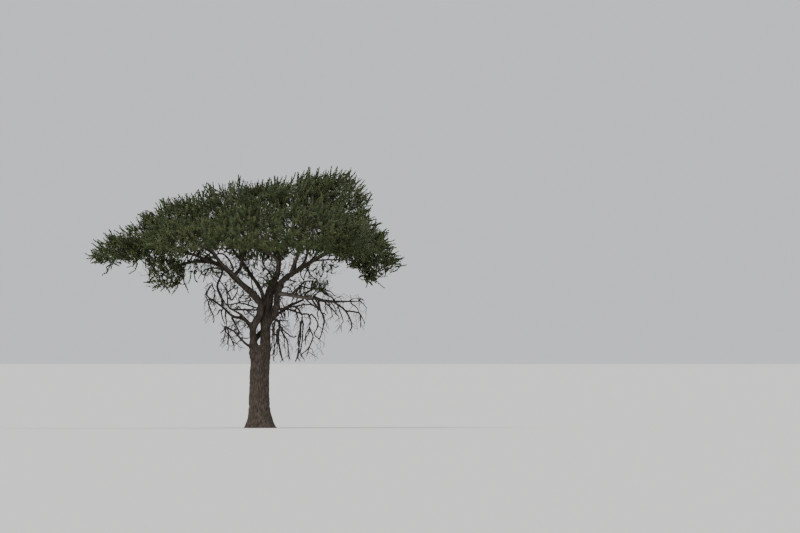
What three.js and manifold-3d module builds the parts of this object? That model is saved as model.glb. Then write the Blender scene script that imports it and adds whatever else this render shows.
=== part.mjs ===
// An umbrella acacia of the open plain, leaning a little, with a wide flat-topped crown.
// The trunk forks low into two stems. Boughs arch out from them and carry the crown, which is
// made of leafy masses with sky between them, and bare dead wood hangs below it.
// Lengths are in mm, +Z is up, the trunk's flat foot is at Z = 0, and -Y faces the viewer.

import * as THREE from "three";
import { mergeVertices } from "three/addons/utils/BufferGeometryUtils.js";
import Module from "manifold-3d";

const wasm = await Module();
wasm.setup();
const { Manifold, Mesh } = wasm;

// Driving sizes, in millimetres.
const JOINT_GAP = 0.3; // clear space between two pieces of wood that meet
const TRUNK_HEIGHT = 2480; // ground to the crotch of the fork
const TRUNK_HALF_WIDTH = 285; // half width of the trunk at mid height, seen from the front
const TRUNK_HALF_DEPTH = 235; // the same, seen from the side
const FLARE = 0.62; // how much wider the foot is than the trunk
const FLARE_HEIGHT = 330; // height over which the flare dies away
const BUTTRESSES = 5; // folds round the foot
const FORK_HEIGHT = 2700; // where the two stems start

const CORE_SHARE = [0.84, 0.84, 0.7]; // a dense mass's core against its space, per axis
const SPRAY_LENGTH = 440; // one leafy shoot
const SPRAY_WIDTH = 170;
const SPRAY_THICKNESS = 60;
const SPACE_MARGIN = 12; // each mass keeps this far from the plane shared with a neighbour
const LIMB_MARGIN = 8; // leaves and twigs keep this far from passing limbs
const TWIG_RADIUS = 17;
const TWIG_TIP = 7;

const BARK = "#5b4d40";
const DEAD_WOOD = "#6d6257";
const LEAF_TONES = ["#56613a", "#4c5833", "#616b42"];

// The limbs. Each starts inside its parent and runs through the points to its tip. When it
// carries a leafy mass, the tip is worked out from that mass, on the side where it arrives.
const limbs = [
  { name: "stem_main", parent: "fork_right", radii: [160, 126],
    through: [[168, 40, 3050], [200, 70, 3600], [300, 90, 4100], [470, 80, 4450]] },
  { name: "stem_left", parent: "fork_left", radii: [103, 106],
    through: [[-212, -20, 2920], [-152, -80, 3130], [-22, -150, 3370], [18, -170, 3660]] },
  { name: "stem_right", parent: "stem_main", radii: [108, 96],
    through: [[185, 45, 3100], [380, -40, 3370], [490, -50, 3640], [515, -40, 4000],
      [600, -20, 4300]] },
  { name: "bough_left", parent: "stem_left", radii: [110, 40],
    through: [[-215, -130, 4010], [-640, -60, 4395], [-1180, 0, 4880], [-1850, 0, 5010]],
    carries: "left_droop" },
  { name: "bough_far_left", parent: "bough_left", radii: [46, 24],
    through: [[-1480, 0, 4980], [-2000, -200, 5200], [-2550, -220, 5330], [-3150, -80, 5370]],
    carries: "far_left" },
  { name: "bough_left_shoulder", parent: "bough_far_left", radii: [34, 24],
    through: [[-2150, -200, 5240], [-2500, -60, 5430]], carries: "left_shoulder" },
  { name: "bough_left_top", parent: "stem_main", radii: [72, 30],
    through: [[205, 72, 3600], [150, 0, 3750], [90, -30, 3885], [82, -34, 4000],
      [42, -5, 4115], [-330, 25, 4680], [-900, 120, 5450]],
    carries: "left_top" },
  { name: "bough_mid_left", parent: "bough_left", radii: [58, 30],
    through: [[-720, -40, 4600], [-585, -120, 4800], [-540, -170, 5050],
      [-450, -190, 5260], [-350, -180, 5500]], carries: "mid_left_top" },
  { name: "bough_mid_low", parent: "stem_main", radii: [31, 19],
    through: [[420, 85, 4400], [320, 10, 4610], [205, -40, 4770], [90, -80, 4915]], carries: "mid_low" },
  { name: "bough_centre", parent: "stem_main", radii: [66, 34],
    through: [[470, 80, 4440], [556, 90, 4720], [576, 90, 5100], [500, 60, 5560]],
    carries: "mid_top" },
  { name: "bough_right", parent: "stem_right", radii: [90, 32],
    through: [[755, -10, 4480], [975, -10, 4630], [1340, 0, 4870], [2000, 0, 5230]],
    carries: "right_outer" },
  { name: "bough_right_inner", parent: "bough_right", radii: [56, 28],
    through: [[1010, -10, 4720], [1050, 100, 4960], [1150, 230, 5200], [1230, 320, 5450],
      [1280, 330, 5900]], carries: "mid_right_top" },
  { name: "bough_right_mid", parent: "bough_right", radii: [62, 34],
    through: [[1180, 0, 4770], [1305, -50, 4930], [1378, -90, 5090]],
    carries: "mid_right_low" },
  { name: "bough_right_top", parent: "bough_right", radii: [44, 28],
    through: [[1500, 0, 5000], [1780, 220, 5330], [2080, 400, 5750]], carries: "right_top" },
  { name: "bough_right_tip", parent: "bough_right", radii: [29, 18],
    through: [[1420, 0, 4960], [1700, -120, 5020], [2300, -120, 5050]], carries: "right_tip" },
  { name: "bough_left_front", parent: "bough_left", radii: [58, 28],
    through: [[-420, -100, 4225], [-780, -620, 4600], [-1150, -1050, 4950],
      [-1400, -1350, 5300]], carries: "left_front" },
  { name: "bough_mid_front", parent: "stem_main", radii: [58, 28],
    through: [[450, 80, 4420], [528, -330, 4780], [500, -800, 5060], [120, -1300, 5350]],
    carries: "mid_front" },
  { name: "bough_right_front", parent: "bough_right", radii: [54, 27],
    through: [[890, -10, 4600], [1010, -480, 4900], [1110, -900, 5150], [1150, -1300, 5450]],
    carries: "right_front" },
  { name: "bough_outer_front", parent: "bough_right", radii: [42, 25],
    through: [[1390, 0, 4950], [1760, -520, 5140], [2100, -900, 5350]],
    carries: "outer_front" },
  { name: "bough_left_back", parent: "bough_left", radii: [58, 28],
    through: [[-520, -80, 4285], [-800, 420, 4620], [-1200, 900, 4950], [-1450, 1300, 5250]],
    carries: "left_back" },
  { name: "bough_mid_back", parent: "stem_main", radii: [54, 27],
    through: [[455, 82, 4430], [530, 470, 4780], [480, 1000, 5080], [60, 1500, 5400]],
    carries: "mid_back" },
  { name: "bough_right_back", parent: "bough_right", radii: [54, 27],
    through: [[950, -10, 4620], [1050, 480, 4930], [1130, 950, 5180], [1100, 1350, 5450]],
    carries: "right_back" },
  { name: "bough_outer_back", parent: "bough_right", radii: [42, 25],
    through: [[1340, 0, 4920], [1700, 520, 5120], [2150, 1000, 5400]], carries: "outer_back" },
  { name: "dead_limb", parent: "stem_right", radii: [72, 46],
    through: [[520, -40, 4040], [860, -90, 4000], [1300, -120, 3918], [1605, -130, 3900]] },
  { name: "cross_limb", parent: "fork_left", radii: [76, 24],
    through: [[-200, 0, 2560], [-50, 220, 2790], [150, 305, 3000], [440, 230, 3345],
      [860, 80, 3630], [1110, 20, 3610], [1240, 0, 3420]] },
  { name: "bough_under", parent: "dead_limb", radii: [36, 22],
    through: [[930, -95, 3995], [1080, -112, 4140], [1220, -132, 4275], [1335, -170, 4390]],
    carries: "under_cluster" },
  { name: "loop_low", parent: "stem_left", radii: [58, 25],
    through: [[-208, -20, 2940], [-492, 30, 3270], [-812, 80, 3350], [-1131, 60, 3636],
      [-1480, 20, 3870]] },
  { name: "loop_high", parent: "loop_low", radii: [43, 27],
    through: [[-1131, 60, 3636], [-1130, 80, 3830], [-1255, 120, 4130], [-1286, 140, 4280],
      [-1205, 180, 4480], [-1125, 220, 4690], [-1200, 245, 4860]], carries: "left_inner" },
  { name: "left_fork", parent: "stem_left", radii: [48, 24],
    through: [[-195, -50, 3030], [-380, -120, 3210], [-560, -140, 3390], [-870, -130, 3570]] },
  { name: "low_limb", parent: "fork_left", radii: [46, 20],
    through: [[-190, 0, 2400], [-406, -40, 2512], [-640, -60, 2745], [-800, -60, 2915],
      [-1010, -60, 3030]] },
];

// The masses of the crown. Each keeps to an oval space round its centre, cut off by a plane
// towards each neighbour.
const masses = [
  { name: "far_left", kind: "dense", centre: [-4250, 0, 5430], reach: [900, 950, 640] },
  { name: "left_shoulder", kind: "dense", centre: [-3150, 50, 5880], reach: [860, 1350, 750] },
  { name: "left_top", kind: "dense", centre: [-2100, -50, 6290], reach: [1060, 1450, 840] },
  { name: "mid_left_top", kind: "dense", centre: [-950, 0, 6620], reach: [880, 1500, 900] },
  { name: "mid_top", kind: "dense", centre: [150, 0, 6730], reach: [900, 1500, 900] },
  { name: "mid_right_top", kind: "dense", centre: [1300, 0, 6900], reach: [900, 1500, 940] },
  { name: "right_top", kind: "dense", centre: [2450, 0, 6830], reach: [920, 1400, 1000] },
  { name: "mid_right_low", kind: "dense", centre: [1500, -250, 5600], reach: [820, 650, 480],
    detail: 1, goals: 8 },
  { name: "right_outer", kind: "dense", centre: [3150, 0, 5650], reach: [960, 1250, 760] },
  { name: "right_tip", kind: "dense", centre: [3400, 0, 5000], reach: [880, 880, 730],
    power: 1.6 },
  { name: "left_front", kind: "dense", centre: [-2250, -2050, 5850], reach: [1250, 1200, 720] },
  { name: "mid_front", kind: "dense", centre: [-350, -2450, 6070], reach: [1250, 1250, 820] },
  { name: "right_front", kind: "dense", centre: [1450, -2400, 6120],
    reach: [1250, 1250, 860] },
  { name: "outer_front", kind: "dense", centre: [2780, -1800, 5760], reach: [990, 1150, 720] },
  { name: "left_back", kind: "dense", centre: [-2350, 2050, 5850], reach: [1250, 1200, 720] },
  { name: "mid_back", kind: "dense", centre: [-350, 2480, 6070], reach: [1250, 1250, 820] },
  { name: "right_back", kind: "dense", centre: [1450, 2450, 6150], reach: [1250, 1250, 860] },
  { name: "outer_back", kind: "dense", centre: [2760, 1850, 5780], reach: [990, 1150, 720] },
  { name: "left_droop", kind: "dense", centre: [-2920, -100, 4770], reach: [830, 900, 740],
    power: 2, core: 0.72, goals: 18 },
  { name: "left_inner", kind: "sparse", centre: [-1850, 0, 5330], reach: [560, 700, 420] },
  { name: "mid_low", kind: "sparse", centre: [0, 0, 5440], reach: [1150, 900, 540],
    goals: 24 },
  { name: "under_cluster", kind: "sparse", centre: [1750, -250, 4450],
    reach: [400, 400, 450] },
  { name: "dead_twigs", kind: "bare", from: "dead_limb", radii: [44, 12],
    centre: [2400, -150, 3430], reach: [830, 420, 640],
    stem: [[1870, -140, 3825], [2140, -150, 3798], [2646, -160, 3798], [2940, -160, 3800]],
    tips: [[2600, -110, 3500], [2730, -90, 2950], [3195, -190, 3609], [3030, -220, 3100],
      [3020, -130, 3870]] },
  { name: "hanging_right", kind: "bare", from: "cross_limb", radii: [22, 8],
    centre: [1450, -20, 2710], reach: [540, 380, 780],
    stem: [[1225, 10, 3050], [1220, 20, 2730], [1150, 20, 2350], [1075, 10, 1990]],
    tips: [[1600, 60, 2830], [1250, 90, 2180], [1790, -120, 2640], [1900, 40, 3300]] },
  { name: "hanging_trunk", kind: "bare", from: "stem_main", radii: [34, 8],
    centre: [650, -80, 2640], reach: [400, 400, 720],
    stem: [[190, 55, 3150], [420, -90, 3270], [560, -120, 3200], [560, -120, 2640],
      [690, -120, 2010]],
    tips: [[990, -150, 2730], [900, -60, 2060], [420, -230, 2100]] },
  { name: "hanging_left", kind: "bare", from: "low_limb", radii: [20, 8],
    centre: [-820, -60, 2760], reach: [430, 340, 520],
    stem: [[-1050, -60, 2950], [-960, -55, 2780], [-980, -50, 2540]],
    tips: [[-930, -140, 2450], [-760, 20, 2520], [-560, -150, 2380]] },
  { name: "far_strands", kind: "bare", from: "loop_low", radii: [21, 8],
    centre: [-1490, 10, 3720], reach: [240, 300, 660],
    stem: [[-1600, 10, 4010], [-1530, 0, 4160], [-1450, 0, 4310]],
    tips: [[-1560, 20, 3560], [-1400, -20, 3130]] },
  { name: "inner_strands", kind: "bare", from: "left_fork", radii: [23, 8],
    centre: [-800, -100, 3960], reach: [400, 320, 500],
    stem: [[-960, -120, 3680], [-980, -110, 3950], [-1040, -100, 4380]],
    tips: [[-640, -130, 3770], [-430, -200, 3700], [-760, -60, 4300]] },
];

const GOALS = { dense: 13, sparse: 12, bare: 3 };
const POWER = { dense: 2.6, sparse: 2.2, bare: 6 }; // 2 is an oval space, 6 nearly a box
const SEED = 41;

// Small helpers.
const up = new THREE.Vector3(0, 0, 1);
const vector = (values) => new THREE.Vector3(...values);

// The same seed always gives the same tree.
function seeded(seed) {
  let state = seed >>> 0;
  return () => {
    state = (state + 0x6d2b79f5) >>> 0;
    let mixed = Math.imul(state ^ (state >>> 15), state | 1);
    mixed ^= mixed + Math.imul(mixed ^ (mixed >>> 7), mixed | 61);
    return ((mixed ^ (mixed >>> 14)) >>> 0) / 4294967296;
  };
}

function toSolid(geometry) {
  const bare = new THREE.BufferGeometry();
  bare.setAttribute("position", geometry.getAttribute("position").clone());
  bare.setIndex(geometry.getIndex());
  const welded = mergeVertices(bare, 1e-3);
  return new Manifold(new Mesh({
    numProp: 3,
    vertProperties: new Float32Array(welded.getAttribute("position").array),
    triVerts: new Uint32Array(welded.getIndex().array),
  }));
}

function toGeometry(solid) {
  const mesh = solid.getMesh();
  const geometry = new THREE.BufferGeometry();
  geometry.setAttribute("position", new THREE.BufferAttribute(mesh.vertProperties, 3));
  geometry.setIndex(new THREE.BufferAttribute(mesh.triVerts, 1));
  geometry.computeVertexNormals();
  return geometry;
}

function largestPart(solid) {
  const parts = solid.decompose();
  parts.sort((a, b) => b.volume() - a.volume());
  return parts[0];
}

// A tapering tube along a smooth curve. Grown by a little, it is the shape that must stay
// clear round it.
function taperedTube(curve, radii, sides, rings, grow = 0, swell = 0) {
  const tube = new THREE.CylinderGeometry(1, 1, 1, sides, rings);
  const frames = curve.computeFrenetFrames(rings);
  const position = tube.getAttribute("position");
  for (let i = 0; i < position.count; i += 1) {
    const ring = Math.round((position.getY(i) + 0.5) * rings);
    const along = ring / rings;
    const taper = THREE.MathUtils.lerp(radii[0], radii[1], along);
    const radius = taper * (1 + swell * Math.exp(-14 * along)) + grow;
    const point = curve.getPointAt(along);
    point.addScaledVector(frames.normals[ring], position.getX(i) * radius);
    point.addScaledVector(frames.binormals[ring], -position.getZ(i) * radius);
    if (ring === 0) point.addScaledVector(frames.tangents[ring], -grow);
    if (ring === rings) point.addScaledVector(frames.tangents[ring], grow);
    position.setXYZ(i, point.x, point.y, point.z);
  }
  return toSolid(tube);
}

function smoothCurve(points) {
  return new THREE.CatmullRomCurve3(points, false, "centripetal");
}

function nearestOn(curve, target) {
  let best = 0;
  let bestDistance = Infinity;
  for (let step = 0; step <= 200; step += 1) {
    const distance = curve.getPointAt(step / 200).distanceTo(target);
    if (distance < bestDistance) {
      bestDistance = distance;
      best = step / 200;
    }
  }
  return best;
}

// The space that each mass keeps to.
function reachAlong(mass, direction) {
  const power = mass.power ?? POWER[mass.kind];
  const total = Math.abs(direction.x / mass.reach[0]) ** power
    + Math.abs(direction.y / mass.reach[1]) ** power
    + Math.abs(direction.z / mass.reach[2]) ** power;
  return total ** (-1 / power);
}

function findPlanes(mass) {
  const centre = vector(mass.centre);
  const planes = [];
  for (const other of masses) {
    if (other === mass) continue;
    const normal = vector(other.centre).sub(centre);
    const distance = normal.length();
    normal.normalize();
    const own = reachAlong(mass, normal);
    const theirs = reachAlong(other, normal);
    planes.push({ normal, offset: (distance * own) / (own + theirs) - SPACE_MARGIN });
  }
  return planes;
}

for (const mass of masses) mass.planes = findPlanes(mass);

// How far the planes towards the neighbours let the mass go in one direction.
function planeLimit(mass, direction) {
  let limit = Infinity;
  for (const plane of mass.planes) {
    const facing = plane.normal.dot(direction);
    if (facing > 1e-6) limit = Math.min(limit, plane.offset / facing);
  }
  return limit;
}

function spaceAlong(mass, direction) {
  return Math.min(reachAlong(mass, direction), planeLimit(mass, direction));
}

// The same for the core of a dense mass, with its corners drawn in or out by a share.
function coreAlong(mass, direction, share = 1) {
  const scaled = direction.clone().divide(vector(CORE_SHARE));
  const size = reachAlong(mass, scaled) * share * (mass.core ?? 1);
  return Math.min(size, planeLimit(mass, direction) - 15);
}

function inSpace(mass, point) {
  const offset = point.clone().sub(vector(mass.centre));
  const length = offset.length();
  if (length < 1) return true;
  return length <= spaceAlong(mass, offset.divideScalar(length));
}

// How the limbs are made.
const wood = new Map(); // name -> curve, radii, solid, the shape to keep clear, sample points

function addWood(name, curve, radii, sides, rings, swell) {
  const samples = [];
  const count = Math.ceil(curve.getLength() / 30);
  for (let i = 0; i <= count; i += 1) {
    const along = i / count;
    const taper = THREE.MathUtils.lerp(radii[0], radii[1], along);
    samples.push({ point: curve.getPointAt(along), radius: taper * 1.04 });
  }
  wood.set(name, {
    curve,
    radii,
    samples,
    solid: taperedTube(curve, radii, sides, rings, 0, swell),
    clear: taperedTube(curve, radii, sides, rings, JOINT_GAP * 1.15, swell),
  });
}

function trunkSolid() {
  const body = new THREE.CylinderGeometry(1, 1, 1, 17, 9);
  const position = body.getAttribute("position");
  for (let i = 0; i < position.count; i += 1) {
    const height = (position.getY(i) + 0.5) ** 1.25 * TRUNK_HEIGHT;
    const angle = Math.atan2(position.getZ(i), position.getX(i));
    const foot = Math.exp(-height / FLARE_HEIGHT);
    const fold = 0.16 * Math.cos(BUTTRESSES * angle + 0.6) + 0.07 * Math.cos(3 * angle + 2.1);
    const flute = 0.035 * Math.cos(7 * angle + height / 900);
    const shoulder = 1 - 0.42 * Math.max(0, (height - 2250) / (TRUNK_HEIGHT - 2250));
    const girth = (1 + foot * (FLARE + fold) + flute) * shoulder;
    const lean = 26 * Math.sin((height / TRUNK_HEIGHT) * 4.2);
    position.setXYZ(
      i,
      position.getX(i) * TRUNK_HALF_WIDTH * girth - lean,
      -position.getZ(i) * TRUNK_HALF_DEPTH * girth,
      height,
    );
  }
  return toSolid(body);
}

// The trunk ends in two short forks, and the stems stand on their flat ends.
const forks = [
  { name: "fork_right", radii: [215, 158],
    through: [[80, 10, 1850], [140, 20, 2300], [165, 35, FORK_HEIGHT]] },
  { name: "fork_left", radii: [200, 104],
    through: [[-90, 0, 1850], [-180, 0, 2300], [-208, -10, FORK_HEIGHT]] },
];

for (const fork of forks) {
  addWood(fork.name, smoothCurve(fork.through.map(vector)), fork.radii, 9, 3, 0);
}
const trunkBody = trunkSolid();
const trunk = trunkBody.add(wood.get("fork_right").solid).add(wood.get("fork_left").solid);
const footWood = [];
for (let height = 0; height <= 2300; height += 50) {
  const flare = 1 + 0.9 * Math.exp(-height / FLARE_HEIGHT);
  footWood.push({ point: vector([0, 0, height]), radius: TRUNK_HALF_WIDTH * flare + 20 });
}

// These grow straight on from the end of their parent.
const STRAIGHT_ON = ["stem_main", "stem_left", "bough_left", "bough_right"];

function limbPath(limb) {
  const parent = wood.get(limb.parent);
  const given = limb.through.map(vector);
  const points = [];
  if (STRAIGHT_ON.includes(limb.name)) {
    const length = parent.curve.getLength();
    const end = parent.curve.getPointAt(1);
    points.push(parent.curve.getPointAt(1 - 30 / length));
    points.push(end.clone().addScaledVector(parent.curve.getTangentAt(1), 60));
    points.push(...given.filter((point) => point.distanceTo(end) > 150));
  } else {
    points.push(parent.curve.getPointAt(nearestOn(parent.curve, given[0])));
    points.push(...given.slice(1));
  }
  if (limb.carries) {
    const mass = masses.find((candidate) => candidate.name === limb.carries);
    const arriving = points[points.length - 1].clone().sub(vector(mass.centre)).normalize();
    const entry = mass.kind === "dense"
      ? coreAlong(mass, arriving) * 1.12
      : spaceAlong(mass, arriving) * 0.78;
    points.push(vector(mass.centre).addScaledVector(arriving, entry));
  }
  return smoothCurve(points);
}

// Takes the limbs listed before this one, and the joint gap round them, out of a solid.
function cutClear(solid, name) {
  const box = solid.boundingBox();
  let left = solid;
  for (const [otherName, other] of wood) {
    if (otherName === name) break;
    const theirs = other.clear.boundingBox();
    const apart = [0, 1, 2].some((axis) => theirs.min[axis] > box.max[axis]
      || box.min[axis] > theirs.max[axis]);
    if (!apart) left = left.subtract(other.clear);
  }
  return left;
}

const limbSolids = new Map();
for (const limb of limbs) {
  const thick = limb.radii[0] > 90;
  const curve = limbPath(limb);
  const rings = THREE.MathUtils.clamp(Math.round(curve.getLength() / 380), 3, 7);
  addWood(limb.name, curve, limb.radii, thick ? 9 : 6, rings, thick ? 0 : 0.22);
  let solid = cutClear(wood.get(limb.name).solid, limb.name);
  if (limb.parent.startsWith("fork")) {
    solid = solid.subtract(trunkBody);
  }
  limbSolids.set(limb.name, largestPart(solid));
}

// True where a round twig or leaf of this radius would stay clear of every limb.
function clearOfWood(point, radius) {
  for (const { samples } of wood.values()) {
    for (const sample of samples) {
      const needed = sample.radius + radius + LIMB_MARGIN + 4;
      if (sample.point.distanceToSquared(point) < needed * needed) return false;
    }
  }
  return footWood.every((sample) => sample.point.distanceTo(point) > sample.radius + radius);
}

// How the foliage is made.
// A leafy shoot: a flat spindle of 8 faces, widest nearer its root.
function sprayGeometry(root, tip, turn) {
  const spray = new THREE.OctahedronGeometry(1, 0);
  const position = spray.getAttribute("position");
  const direction = tip.clone().sub(root);
  const length = direction.length();
  direction.divideScalar(length);
  const side = new THREE.Vector3().crossVectors(direction, up);
  if (side.length() < 0.2) side.set(1, 0, 0);
  side.normalize().applyAxisAngle(direction, turn);
  const flat = new THREE.Vector3().crossVectors(side, direction);
  const size = length / SPRAY_LENGTH;
  for (let i = 0; i < position.count; i += 1) {
    const end = position.getY(i);
    const along = end > 0.5 ? 1 : end < -0.5 ? 0 : 0.4;
    const point = root.clone().lerp(tip, along);
    point.addScaledVector(side, (position.getX(i) * SPRAY_WIDTH * size) / 2);
    point.addScaledVector(flat, (position.getZ(i) * SPRAY_THICKNESS * size) / 2);
    position.setXYZ(i, point.x, point.y, point.z);
  }
  return spray;
}

// Adds the shoot unless it would leave the mass's space or touch a limb.
function addSpray(mass, parts, root, tip, turn) {
  const geometry = sprayGeometry(root, tip, turn);
  const position = geometry.getAttribute("position");
  const corner = new THREE.Vector3();
  for (let i = 0; i < position.count; i += 1) {
    corner.fromBufferAttribute(position, i);
    if (!inSpace(mass, corner)) return false;
  }
  const size = root.distanceTo(tip) / SPRAY_LENGTH;
  for (let step = 0.2; step <= 1.01; step += 0.16) {
    const half = (SPRAY_WIDTH / 2) * size * (1 - Math.abs(step - 0.4));
    if (!clearOfWood(root.clone().lerp(tip, Math.min(1, step)), half)) return false;
  }
  parts.push(toSolid(geometry));
  return true;
}

// Directions spread evenly round a ball by the golden angle.
function spreadDirection(index, count, random) {
  const height = 1 - (2 * (index + 0.5)) / count;
  const angle = index * 2.399963 + 0.5 * random();
  const ring = Math.sqrt(1 - height * height);
  return new THREE.Vector3(ring * Math.cos(angle), ring * Math.sin(angle), height);
}

// The ragged core of a dense mass: a ball with some corners drawn out and the rest drawn in.
function coreSolid(mass, random) {
  const ball = new THREE.IcosahedronGeometry(1, mass.detail ?? 2);
  ball.deleteAttribute("normal");
  ball.deleteAttribute("uv");
  const core = mergeVertices(ball, 1e-3);
  const position = core.getAttribute("position");
  for (let i = 0; i < position.count; i += 1) {
    const direction = new THREE.Vector3().fromBufferAttribute(position, i).normalize();
    const drawnOut = random() < 0.42;
    const share = drawnOut ? 0.94 + 0.06 * random() : 0.66 + 0.16 * random();
    const radius = coreAlong(mass, direction, share);
    position.setXYZ(i, direction.x * radius, direction.y * radius, direction.z * radius);
  }
  core.translate(...mass.centre);
  return toSolid(core);
}

// Every mass starts from one stem. It stands on the end of its bough, cut to a clear joint.
function stemFor(mass) {
  const limb = limbs.find((candidate) => candidate.carries === mass.name);
  const name = limb ? limb.name : mass.from;
  const bough = wood.get(name);
  const tip = bough.curve.getPointAt(1);
  const tangent = bough.curve.getTangentAt(1);
  const points = [];
  let radii = mass.radii;
  if (mass.from === "stem_main") {
    points.push(...mass.stem.map(vector));
    points[0] = bough.curve.getPointAt(nearestOn(bough.curve, points[0]));
  } else {
    points.push(tip.clone().addScaledVector(tangent, -20));
    points.push(tip.clone().addScaledVector(tangent, 50));
    if (mass.stem) points.push(...mass.stem.map(vector));
    else points.push(vector(mass.centre));
  }
  if (!radii) radii = [limb.radii[1] * 0.92, limb.radii[1] * 0.45];
  const curve = smoothCurve(points);
  const rings = mass.kind === "bare" ? 5 : 2;
  const solid = taperedTube(curve, radii, mass.kind === "bare" ? 4 : 5, rings);
  return { curve, radii, solid: largestPart(solid.subtract(bough.clear)) };
}

// Points of the growing twigs that a new one may start from.
function addNodes(nodes, curve, radii, first) {
  const count = Math.max(3, Math.round(curve.getLength() / 70));
  for (let i = 0; i <= count; i += 1) {
    const along = Math.min(1, first + ((1 - first) * i) / count);
    nodes.push({
      point: curve.getPointAt(along),
      radius: THREE.MathUtils.lerp(radii[0], radii[1], along),
    });
  }
}

function bestNode(nodes, goal, hanging) {
  let best = nodes[0];
  let bestCost = Infinity;
  for (const node of nodes) {
    const sideways = Math.hypot(goal.x - node.point.x, goal.y - node.point.y);
    const below = Math.max(0, goal.z + 0.7 * sideways - node.point.z);
    const cost = node.point.distanceTo(goal) + (hanging ? 2.5 * below : 0);
    if (cost < bestCost) {
      bestCost = cost;
      best = node;
    }
  }
  return best;
}

function growTwig(mass, parts, nodes, goal, hanging) {
  const node = bestNode(nodes, goal, hanging);
  const start = node.point;
  const middle = start.clone().lerp(goal, 0.5);
  if (hanging) middle.z = THREE.MathUtils.lerp(middle.z, start.z, 0.55);
  else middle.z += 0.1 * start.distanceTo(goal);
  const curve = new THREE.QuadraticBezierCurve3(start, middle, goal);
  const length = curve.getLength();
  if (length < 60) return false;
  const radii = [Math.min(TWIG_RADIUS, node.radius * 0.85), TWIG_TIP];
  for (let step = 0.2; step <= 1.01; step += 0.1) {
    const point = curve.getPointAt(Math.min(1, step));
    if (!inSpace(mass, point) || !clearOfWood(point, radii[0])) return false;
  }
  parts.push(taperedTube(curve, radii, 3, 2));
  addNodes(nodes, curve, radii, 0.25);
  return true;
}

// The shoots of a dense mass stand out of its core and sweep upwards, or droop below it.
function growDense(mass, random) {
  const stem = stemFor(mass);
  const goals = mass.goals ?? GOALS.dense;
  const parts = [coreSolid(mass, random), stem.solid];
  const centre = vector(mass.centre);
  for (let i = 0; i < goals; i += 1) {
    const direction = spreadDirection(i, goals, random);
    direction.z += 0.22;
    direction.normalize();
    const core = coreAlong(mass, direction) * 0.86;
    const full = spaceAlong(mass, direction) * 0.985;
    if (full < core + 110) continue;
    const out = Math.min(full, core + SPRAY_LENGTH * (0.62 + 0.2 * random()));
    const tip = centre.clone().addScaledVector(direction, out);
    const start = direction.clone();
    start.z -= direction.z > -0.3 ? 0.25 : -0.1;
    start.normalize();
    const root = centre.clone().addScaledVector(start, coreAlong(mass, start) * 0.6);
    addSpray(mass, parts, root, tip, (random() - 0.5) * 1.4);
  }
  return parts;
}

// A sparse mass has no core: its twigs spread to even goals and end in leafy shoots.
function growSparse(mass, random) {
  const stem = stemFor(mass);
  const parts = [stem.solid];
  const nodes = [];
  addNodes(nodes, stem.curve, stem.radii, 0.3);
  const centre = vector(mass.centre);
  const goals = mass.goals ?? GOALS.sparse;
  const twigs = Math.round(goals * 0.42);
  for (let i = 0; i < twigs; i += 1) {
    const direction = spreadDirection(i, twigs, random);
    const share = 0.5 + 0.15 * random();
    const goal = centre.clone().addScaledVector(direction, share * spaceAlong(mass, direction));
    growTwig(mass, parts, nodes, goal, false);
  }
  for (let i = 0; i < goals; i += 1) {
    const direction = spreadDirection(i, goals, random);
    const tip = centre.clone()
      .addScaledVector(direction, (0.85 + 0.12 * random()) * spaceAlong(mass, direction));
    const node = bestNode(nodes, tip, false);
    const heading = tip.clone().sub(node.point).normalize();
    const length = Math.min(SPRAY_LENGTH * 1.1, tip.distanceTo(node.point));
    if (length < 0.5 * SPRAY_LENGTH) continue;
    const root = node.point.clone().addScaledVector(heading, -0.9 * node.radius);
    addSpray(mass, parts, root, root.clone().addScaledVector(heading, length),
      (random() - 0.5) * 1.4);
  }
  return parts;
}

function growBare(mass, random) {
  const stem = stemFor(mass);
  const parts = [stem.solid];
  const nodes = [];
  addNodes(nodes, stem.curve, stem.radii, mass.from === "stem_main" ? 0.2 : 0.08);
  for (const tip of mass.tips) growTwig(mass, parts, nodes, vector(tip), true);
  const goals = mass.goals ?? GOALS.bare;
  for (let i = 0; i < goals * 3 && parts.length <= goals + mass.tips.length; i += 1) {
    const goal = vector(mass.centre);
    goal.x += (2 * random() - 1) * mass.reach[0] * 0.92;
    goal.y += (2 * random() - 1) * mass.reach[1] * 0.9;
    goal.z += (1.6 * random() - 0.95) * mass.reach[2];
    growTwig(mass, parts, nodes, goal, true);
  }
  return parts;
}

const growers = { dense: growDense, sparse: growSparse, bare: growBare };

// The whole tree.
const group = new THREE.Group();
group.name = "umbrella_acacia";

function addPiece(name, solid, color, roughness) {
  const material = new THREE.MeshStandardMaterial({ color, roughness, metalness: 0 });
  const mesh = new THREE.Mesh(toGeometry(solid), material);
  mesh.name = name;
  group.add(mesh);
}

addPiece("trunk", trunk, BARK, 0.92);
for (const limb of limbs) {
  const dead = limb.name === "dead_limb";
  addPiece(limb.name, limbSolids.get(limb.name), dead ? DEAD_WOOD : BARK, 0.9);
}

masses.forEach((mass, index) => {
  const random = seeded(SEED + 97 * index);
  const parts = growers[mass.kind](mass, random);
  const solid = largestPart(cutClear(Manifold.union(parts), mass.name));
  const bare = mass.kind === "bare";
  const tone = bare ? DEAD_WOOD : LEAF_TONES[index % LEAF_TONES.length];
  addPiece(`${bare ? "twigs" : "leaves"}_${mass.name}`, solid, tone, bare ? 0.9 : 0.8);
});

export default group;
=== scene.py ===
# %% [markdown]
# # An umbrella acacia
#
# A wild tree of the open plain: a forked trunk, boughs that arch out from it, a wide flat-topped
# crown of feathery leaves with sky between them, and bare dead wood hanging below. The solids of
# the frame give each limb and each mass of foliage its place. This lesson dresses them: real
# bark, limbs that run on into the crown, twigs, and leaves in sprays.

import math

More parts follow.
